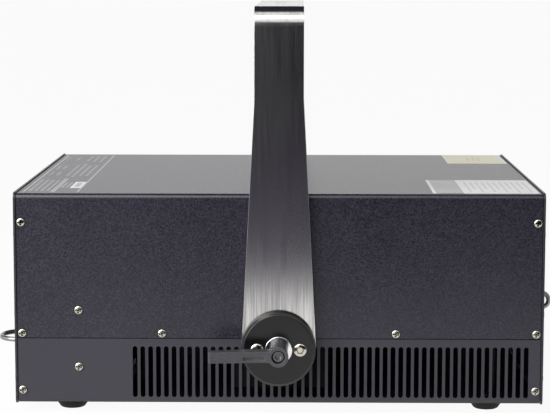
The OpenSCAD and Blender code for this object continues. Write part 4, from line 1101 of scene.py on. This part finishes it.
@dataclass
class TopPrint:
    """Printed rules, plain print blocks and blank labels on top of the cover, from its middle."""

    shop: Workshop
    ink: float = 0.04 * MM
    film: float = 0.12 * MM
    rule_w: float = 1.1 * MM
    stroke_w: float = 3.2 * MM
    rules: tuple = (-252.0 * MM, -198.6 * MM)
    pair_rule: float = -223.6 * MM
    pair_gap: float = 2.4 * MM
    pair_end: float = -68.0 * MM
    reach: float = 191.0 * MM
    flat_edge: float = 5.4 * MM
    blocks: tuple = (PrintBlock(-247, -229.6, 4, -188, -74), PrintBlock(-227, -206.4, 4, -56, 88),
                     PrintBlock(-246.3, -238.4, 2, -36, 5), PrintBlock(-246.3, -239.4, 2, 24, 69),
                     PrintBlock(-247.5, -235.4, 2, 128, 168), PrintBlock(-222.6, -207.2, 3, 110, 189),
                     PrintBlock(-218.6, -213.6, 2, -155, -104))

    def build(self) -> None:
        """Lays the print and the labels."""
        low, high = node_box("top_cover")
        rules = [self.column(x, self.reach) for x in self.rules]
        rules += [self.column(self.pair_rule + s * self.pair_gap / 2, self.pair_end) for s in (-1, 1)]
        self.lay("printed_rules", rules, high.z, self.ink, "printed_rule")
        self.lay("print_blocks", self.strokes(), high.z, self.ink, "printed_block")
        self.labels(high.z, (low.y + self.flat_edge) / MM, (high.y - self.flat_edge) / MM)

    def lay(self, name: str, plates: list[tuple], top: float, height: float, finish: str) -> None:
        """Lays plates of one height on the cover's top."""
        piece = self.shop.plates.place(name, plates, top, 2 * height, self.shop.finish(finish))
        attach(piece, "housing")

    def column(self, x: float, end: float) -> tuple[float, float, float, float]:
        """Returns the rectangle of a rule that runs across the cover."""
        return (x - self.rule_w / 2, x + self.rule_w / 2, -self.reach, end)

    def strokes(self) -> list[tuple[float, float, float, float]]:
        """Breaks each block into plain strokes of uneven length. Returns their rectangles."""
        chance = random.Random(SEED)
        plates = []
        for block in self.blocks:
            first, last, low, high = (v * MM for v in (block.first, block.last, block.low, block.high))
            for k in range(block.strokes):
                x = first + (last - first) * k / (block.strokes - 1)
                room = high - low
                y = low + room * chance.uniform(0.0, 0.12)
                end = high - room * chance.uniform(0.0, 0.12)
                while y < end - 2.0 * MM:
                    stop = min(end, y + chance.uniform(6.0, 15.0) * MM)
                    half = self.stroke_w / 2 * chance.uniform(0.8, 1.0)
                    plates.append((x - half, x + half, y, stop))
                    y = stop + chance.uniform(1.0, 1.8) * MM
        return plates

    def labels(self, top: float, near: float, far: float) -> None:
        """Sticks the blank labels down.

        Args:
            top: height of the cover's top.
            near: edge of the flat part on the near side, in millimetres.
            far: edge of the flat part on the far side, in millimetres.
        """
        inset = near + 5.0
        white = [(-210.3, -199.4, -157.0, -100.5), (151.0, 255.4, inset, -75.5), (252.0, 255.4, 101.0, far)]
        fields = [(154.2, 181.2, inset, -75.9), (-207.2, -202.4, -146.0, -112.0)]
        faint = [(x, x + 2.2, -186.0 + 26 * (k % 2), -96.0) for k, x in enumerate(range(188, 250, 6))]
        faint += [(157.0, 178.5, y, y + 2.0) for y in (-186.0, -172.0, -100.0, -86.0)]
        straw = [(192.0, 248.0, y, y + 1.6) for y in (112.0, 126.0, 176.0, 190.0)]
        straw += [(x, x + 2.0, 136.0, 168.0) for x in (214.0, 220.0, 226.0)]
        for name, plates, level, finish in (
                ("blank_labels", white, 1.0, "white_label"), ("grey_label_fields", fields, 1.5, "grey_label"),
                ("yellow_label", [(188.0, 252.0, 101.0, far)], 1.0, "yellow_label"),
                ("label_rules", faint, 1.6, "faint_rule"), ("yellow_label_rules", straw, 1.2, "straw_rule")):
            self.lay(name, [tuple(v * MM for v in plate) for plate in plates], top, self.film * level, finish)


@dataclass
class Yoke:
    """Brushed flat-bar yoke with its clamp plates, their screws and washers."""

    shop: Workshop
    head_height: float = 2.4 * MM

    def build(self) -> None:
        """Builds and dresses the yoke."""
        for node, finish, width, segments in (
                ("yoke_bar", "yoke_steel", 0.7, 2), ("clamp_plates", "clamp_coat", 0.5, 3),
                ("bright_washers", "chrome", 0.5, 3), ("spacer_rings", "zinc_plate", 0.3, 2),
                ("pivot_studs", "stud_steel", 0.3, 2)):
            self.shop.soften(node, finish, width, segments=segments)
        seats = []
        for low, high in loose_boxes("clamp_plate_screws"):
            place = (low + high) / 2
            facing = Facing.NEAR if place.y < 0 else Facing.FAR
            place.y = low.y + self.head_height if place.y < 0 else high.y - self.head_height
            seats.append((place, facing))
        settle(self.shop.screws.place(
            "clamp_plate_screw_heads", seats, self.shop.finish("bright_nickel"), head_radius=6.3 * MM,
            head_height=self.head_height, recess_size=7.6 * MM, recess_depth=1.3 * MM, hexagon=True,
            rim_share=0.35, shank_radius=3 * MM, shank_length=15 * MM), "clamp_plate_screws")


@dataclass
class ClampLever:
    """One clamp lever with its insert, spring and screw."""

    shop: Workshop
    side: str
    turns: float = 5.0
    wire: float = 0.9 * MM
    lift: float = 4.0 * MM
    lift_play: float = 0.2 * MM

    def build(self) -> None:
        """Builds and dresses the lever."""
        self.shop.soften(self.side + "_lever_handle", "lever_coat", 0.9, segments=3)
        self.shop.soften(self.side + "_lever_insert", "machined_brass", 0.3)
        self.shop.soften(self.side + "_lever_screw", "dark_steel", 0.5, segments=3)
        self.spring()

    def spring(self) -> None:
        """Winds the spring in the space of its CAD rings."""
        node = self.side + "_lever_spring"
        low, high = node_box(node)
        centre, length = (low + high) / 2, high.y - low.y
        piece = self.shop.springs.run(self.side + "_lever_coil", point_mesh(node, []), {
            "Radius": (high.x - low.x) / 2 - self.wire, "Wire Radius": self.wire,
            "Length": length - 2 * self.wire, "Turns": self.turns,
            "Place": Vector((centre.x, high.y - self.wire, centre.z)), "Turn": Vector((math.pi / 2, 0, 0)),
            "Finish": self.shop.finish("bright_nickel")})
        settle(piece, node)
        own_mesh(piece)


@dataclass
class FillerCap:
    """Turning cap of the tank, with a grip bar and fine ribs round its rim."""

    shop: Workshop
    rib: float = 1.8 * MM
    ribs: int = 36
    bore: float = 17.3 * MM
    wall: float = 3 * MM

    def build(self) -> None:
        """Builds the cap and its ribs."""
        low, high = node_box("filler_cap")
        centre = (low + high) / 2
        radius = (high.z - low.z) / 2 - 1.6 * MM
        face = low.x + 6 * MM
        deep = high.x - face
        inner = deep - self.wall
        outline = [(0.0, inner), (self.bore, inner), (self.bore, 0.0), (radius, 0.0), (radius, deep - 2 * MM),
                   (radius - 0.6 * MM, deep - 0.6 * MM), (radius - 2 * MM, deep), (0.0, deep)]
        bm = bmesh.new()
        lathe_mesh(bm, outline, facing_matrix((high.x, centre.y, centre.z), Facing.REAR), 72)
        box_mesh(bm, (low.x, centre.y - radius * 0.8, centre.z - 3 * MM),
                 (face + 0.2 * MM, centre.y + radius * 0.8, centre.z + 3 * MM), 0.8 * MM)
        finish = self.shop.finish("black_moulding")
        settle(from_bmesh("filler_cap_body", bm), "filler_cap", finish)
        ribs = self.shop.ribs.run("filler_cap_ribs", point_mesh("filler_cap_ribs", []), {
            "Count": self.ribs, "Ring Radius": radius, "Rib Size": Vector((self.rib, self.rib, inner)),
            "Place": Vector(((high.x + face) / 2, centre.y, centre.z)), "Turn": Vector((0, math.pi / 2, 0)),
            "Finish": finish})
        attach(ribs, "cap")


@dataclass
class SocketInserts:
    """Black insert and three contact pins in each data socket."""

    shop: Workshop
    pocket: float = 8 * MM
    flange: float = 4 * MM
    wall: float = 2 * MM
    insert_height: float = 3 * MM
    insert_edge: float = 0.6 * MM
    pin_radius: float = 1.1 * MM
    pin_ring: float = 3.6 * MM
    pin_height: float = 2.4 * MM

    def build(self) -> None:
        """Builds the inserts and the pins of both sockets."""
        face = node_box("rear_plate")[0].x
        inserts, pins = bmesh.new(), bmesh.new()
        for low, high in loose_boxes("data_sockets"):
            floor = (low + high) / 2
            floor.x = face + self.pocket
            radius = (high.y - low.y) / 2 - self.flange - self.wall
            if radius < self.pin_ring + self.pin_radius:
                continue
            top, edge = self.insert_height, self.insert_edge
            outline = [(0.0, 0.0), (radius, 0.0), (radius, top - edge), (radius - edge, top), (0.0, top)]
            lathe_mesh(inserts, outline, facing_matrix(floor, Facing.REAR), 48)
            for i in range(3):
                turn = math.tau * i / 3 + math.pi / 2
                spot = floor + Vector((-top, self.pin_ring * math.cos(turn), self.pin_ring * math.sin(turn)))
                self.pin(pins, facing_matrix(spot, Facing.REAR))
        for name, bm, finish in (("data_socket_inserts", inserts, "black_moulding"),
                                 ("data_socket_pins", pins, "machined_brass")):
            attach(from_bmesh(name, bm), "housing", self.shop.finish(finish))

    def pin(self, bm: bmesh.types.BMesh, place: Matrix) -> None:
        """Adds one round-ended pin."""
        radius, top = self.pin_radius, self.pin_height
        outline = [(0.0, 0.0), (radius, 0.0), (radius, top - radius * 0.6),
                   (radius * 0.7, top - radius * 0.2), (0.0, top)]
        lathe_mesh(bm, outline, place, 20)


@dataclass
class ControlPrint:
    """Plain rules and blocks printed on the rear plate, and the display's unlit segments."""

    shop: Workshop
    ink: float = 0.1 * MM
    rule: float = 0.7 * MM
    frame_gap: float = 4 * MM
    block_height: float = 1.8 * MM
    lift: float = 5 * MM
    digits: int = 4
    digit_pitch: float = 15 * MM
    digit_width: float = 8 * MM
    digit_height: float = 15 * MM
    bar: float = 1.4 * MM

    def build(self) -> None:
        """Prints the plate and the display."""
        self.plate()
        self.display()

    def stamp(self, bm: bmesh.types.BMesh, face: float, low: tuple, high: tuple) -> None:
        """Adds one printed rectangle on a face, between two corners (y, z)."""
        box_mesh(bm, (face - self.ink, *low), (face + self.ink, *high))

    def block(self, bm: bmesh.types.BMesh, face: float, y: float, z: float, width: float) -> None:
        """Adds one blank printed block, centred at y and z."""
        tall = self.block_height
        self.stamp(bm, face, (y - width / 2, z - tall / 2), (y + width / 2, z + tall / 2))

    def plate(self) -> None:
        """Prints a frame round the display and a blank block by every control."""
        face = node_box("rear_plate")[0].x
        bm = bmesh.new()
        low, high = node_box("display_window")
        gap, rule = self.frame_gap, self.rule
        y0, y1, z0, z1 = low.y - gap, high.y + gap, low.z - gap, high.z + gap
        for a, b in (((y0, z0), (y1, z0 + rule)), ((y0, z1 - rule), (y1, z1)),
                     ((y0, z0 + rule), (y0 + rule, z1 - rule)), ((y1 - rule, z0 + rule), (y1, z1 - rule))):
            self.stamp(bm, face, a, b)
        for i in range(1, 5):
            low, high = node_box(f"menu_button_{i}")
            self.block(bm, face, (low.y + high.y) / 2, low.z - self.lift, (high.y - low.y) * 0.8)
        for node in ("mains_inlet", "power_switch_frame", "fuse_holder"):
            low, high = node_box(node)
            self.block(bm, face, (low.y + high.y) / 2, high.z + self.lift, (high.y - low.y) * 0.7)
        low, high = node_box("data_sockets")
        for share in (0.24, 0.76):
            self.block(bm, face, low.y + (high.y - low.y) * share, high.z + self.lift, (high.y - low.y) * 0.3)
        finish = self.shop.finish("printed_block")
        attach(from_bmesh("rear_plate_print", bm), "housing", finish)

    def display(self) -> None:
        """Adds the unlit segments of each digit on the window."""
        low, high = node_box("display_window")
        face = low.x
        middle_y, middle_z = (low.y + high.y) / 2, (low.z + high.z) / 2
        bm = bmesh.new()
        half, tall, bar = self.digit_width / 2, self.digit_height / 2, self.bar
        for i in range(self.digits):
            y = middle_y + (i - (self.digits - 1) / 2) * self.digit_pitch
            for z in (-tall, 0.0, tall):
                z += middle_z
                self.stamp(bm, face, (y - half + bar, z - bar / 2), (y + half - bar, z + bar / 2))
            for side in (y - half, y + half):
                for foot in (middle_z - tall, middle_z):
                    self.stamp(bm, face, (side - bar / 2, foot + bar), (side + bar / 2, foot + tall - bar))
        finish = self.shop.finish("unlit_segments")
        attach(from_bmesh("display_segments", bm), "housing", finish)


@dataclass
class Studio:
    """Floor, world, lamps and camera."""

    lens_mm: float = 125.24
    camera_place: tuple = (0.0192, -2.0596, 0.4314)
    pitch_down: float = 0.121069
    yaw: float = -0.0124558
    roll: float = 0.00106593
    world_fill: float = 0.24
    floor_half: float = 30.0
    floor_level: float = 0.86
    floor_white: float = 0.94
    card_color: tuple = (0.048, 0.043, 0.064)
    card_left: float = -0.72
    card_front: float = -0.94
    card_reach: tuple = (4.0, -6.0, 3.4)

    def build(self) -> None:
        """Sets up the studio."""
        self.camera()
        self.floor()
        self.cards()
        self.world()
        self.lamps()
        bpy.context.scene.view_settings.view_transform = "Standard"

    def camera(self) -> None:
        """Adds the camera."""
        data = bpy.data.cameras.new("camera")
        data.lens = self.lens_mm
        data.sensor_width = 36.0
        data.sensor_fit = "HORIZONTAL"
        data.clip_end = 100.0
        camera = bpy.data.objects.new("camera", data)
        forward = Vector((math.sin(self.yaw) * math.cos(self.pitch_down),
                          math.cos(self.yaw) * math.cos(self.pitch_down), -math.sin(self.pitch_down)))
        right = Vector((math.cos(self.yaw), -math.sin(self.yaw), 0.0))
        up = right.cross(forward)
        turned_right = right * math.cos(self.roll) + up * math.sin(self.roll)
        turned_up = up * math.cos(self.roll) - right * math.sin(self.roll)
        turn = Matrix((turned_right, turned_up, -forward)).transposed().to_4x4()
        camera.matrix_world = Matrix.Translation(self.camera_place) @ turn
        bpy.context.scene.collection.objects.link(camera)
        bpy.context.scene.camera = camera

    def white_for_lenses(self, tree: bpy.types.NodeTree, plain: bpy.types.NodeSocket, share: float,
                         out: bpy.types.NodeSocket) -> None:
        """Shows white to the camera and to gloss and glass, and a plain shader to the rest.

        Args:
            tree: the material's or world's node tree.
            plain: the shader that lights and takes shadow.
            share: share of white that the camera sees.
            out: the output socket to feed.
        """
        book = NodeBook(tree)
        path = book.add("ShaderNodeLightPath")
        seen = book.math("MAXIMUM", path.outputs["Is Camera Ray"], path.outputs["Is Glossy Ray"])
        seen = book.math("MAXIMUM", seen, path.outputs["Is Transmission Ray"])
        in_world = out.node.bl_idname == "ShaderNodeOutputWorld"
        kind = "ShaderNodeBackground" if in_world else "ShaderNodeEmission"
        white = book.add(kind, {"Color": grey(1.0), "Strength": 1.0})
        mixed = book.add("ShaderNodeMixShader", {0: book.math("MULTIPLY", seen, share), 1: plain,
                                                 2: white.outputs[0]})
        tree.links.new(mixed.outputs[0], out)

    def floor(self) -> None:
        """Adds the pale floor, which keeps the shadow."""
        bm = bmesh.new()
        bmesh.ops.create_grid(bm, x_segments=1, y_segments=1, size=self.floor_half)
        floor = from_bmesh("floor", bm)
        material = bpy.data.materials.new("studio_floor")
        material.use_nodes = True
        tree = material.node_tree
        shader = tree.nodes["Principled BSDF"]
        shader.inputs["Base Color"].default_value = grey(self.floor_level)
        shader.inputs["Roughness"].default_value = 0.9
        shader.inputs["Specular IOR Level"].default_value = 0.1
        self.white_for_lenses(tree, shader.outputs[0], self.floor_white,
                              tree.nodes["Material Output"].inputs["Surface"])
        dress(floor, material)

    def cards(self) -> None:
        """Stands dark cards round the white floor.

        Bare metal and gloss paint need something dark to reflect. The camera doesn't see the cards.
        """
        material = bpy.data.materials.new("dark_card")
        material.use_nodes = True
        shader = material.node_tree.nodes["Principled BSDF"]
        shader.inputs["Base Color"].default_value = solid(self.card_color)
        shader.inputs["Roughness"].default_value = 1.0
        shader.inputs["Specular IOR Level"].default_value = 0.0
        left, front = self.card_left, self.card_front
        right, back, top = self.card_reach
        self.card("card_on_floor", material, (left, back, 0.002), (right, front, 0.002))
        self.card("card_behind_camera", material, (left, back, 0.0), (right, back, top))
        self.card("card_at_right", material, (2.4, back, 0.0), (2.4, -0.9, 2.2))
        lean = self.card("card_over_machine", material, (-4.0, 3.4, 1.7), (4.0, 3.4, 5.4), (0.0, -3.6, 0.0))
        lean.visible_diffuse = False

    def card(self, name: str, material: bpy.types.Material, low: tuple, high: tuple,
             lean: tuple = (0.0, 0.0, 0.0)) -> bpy.types.Object:
        """Stands or lays one flat card between two corners.

        Args:
            name: the card's name.
            material: its finish.
            low: its lowest corner.
            high: its highest corner, level with the first along one axis.
            lean: how far its high edge is moved.

        Returns:
            The card, which the camera doesn't see.
        """
        flat = next(i for i in range(3) if abs(low[i] - high[i]) < 1e-9)
        u, v = (i for i in range(3) if i != flat)
        corners = [list(low) for _ in range(4)]
        for corner, (far_u, far_v) in zip(corners, ((0, 0), (1, 0), (1, 1), (0, 1))):
            corner[u] = high[u] if far_u else low[u]
            corner[v] = high[v] if far_v else low[v]
            if far_v:
                corner[:] = Vector(corner) + Vector(lean)
        mesh = bpy.data.meshes.new(name)
        mesh.from_pydata(corners, [], [(0, 1, 2, 3)])
        card = new_object(name, mesh)
        dress(card, material)
        card.visible_camera = False
        card.visible_shadow = False
        return card

    def world(self) -> None:
        """Sets a white world that lights gently."""
        world = bpy.data.worlds.new("studio_world")
        world.use_nodes = True
        bpy.context.scene.world = world
        tree = world.node_tree
        fill = tree.nodes["Background"]
        fill.inputs["Color"].default_value = grey(1.0)
        fill.inputs["Strength"].default_value = self.world_fill
        self.white_for_lenses(tree, fill.outputs[0], 1.0, tree.nodes["World Output"].inputs["Surface"])

    def lamps(self) -> None:
        """Hangs the soft lamps."""
        self.lamp("overhead_softbox", (-1.25, -1.6, 2.1), (0.0, -0.1, 0.15), 2.4, 68.0)
        self.lamp("left_softbox", (-1.6, -1.3, 0.75), (-0.25, -0.2, 0.12), 0.9, 22.0)

    def lamp(self, name: str, place: tuple, aim: tuple, size: float, power: float) -> None:
        """Hangs one square soft lamp.

        Args:
            name: the lamp's name.
            place: where it hangs.
            aim: the point that it faces.
            size: side of the lamp.
            power: power in watts.
        """
        data = bpy.data.lights.new(name, "AREA")
        data.size = size
        data.energy = power
        lamp = bpy.data.objects.new(name, data)
        lamp.location = place
        lamp.rotation_euler = (Vector(aim) - Vector(place)).to_track_quat("-Z", "Y").to_euler()
        bpy.context.scene.collection.objects.link(lamp)


def main() -> None:
    """Builds the machine and its studio around the frame."""
    logging.basicConfig(level=logging.INFO, format="%(name)s: %(message)s")
    FRAME.update(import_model())
    Studio().build()
    shop = Workshop()
    for assembly in (Housing(shop), TopPrint(shop), Yoke(shop), ClampLever(shop, "near"),
                     ClampLever(shop, "far"), PlainParts(shop), FillerCap(shop), SocketInserts(shop),
                     ControlPrint(shop)):
        assembly.build()
        LOG.info("%s is built", type(assembly).__name__)


if __name__ == "__main__":
    main()
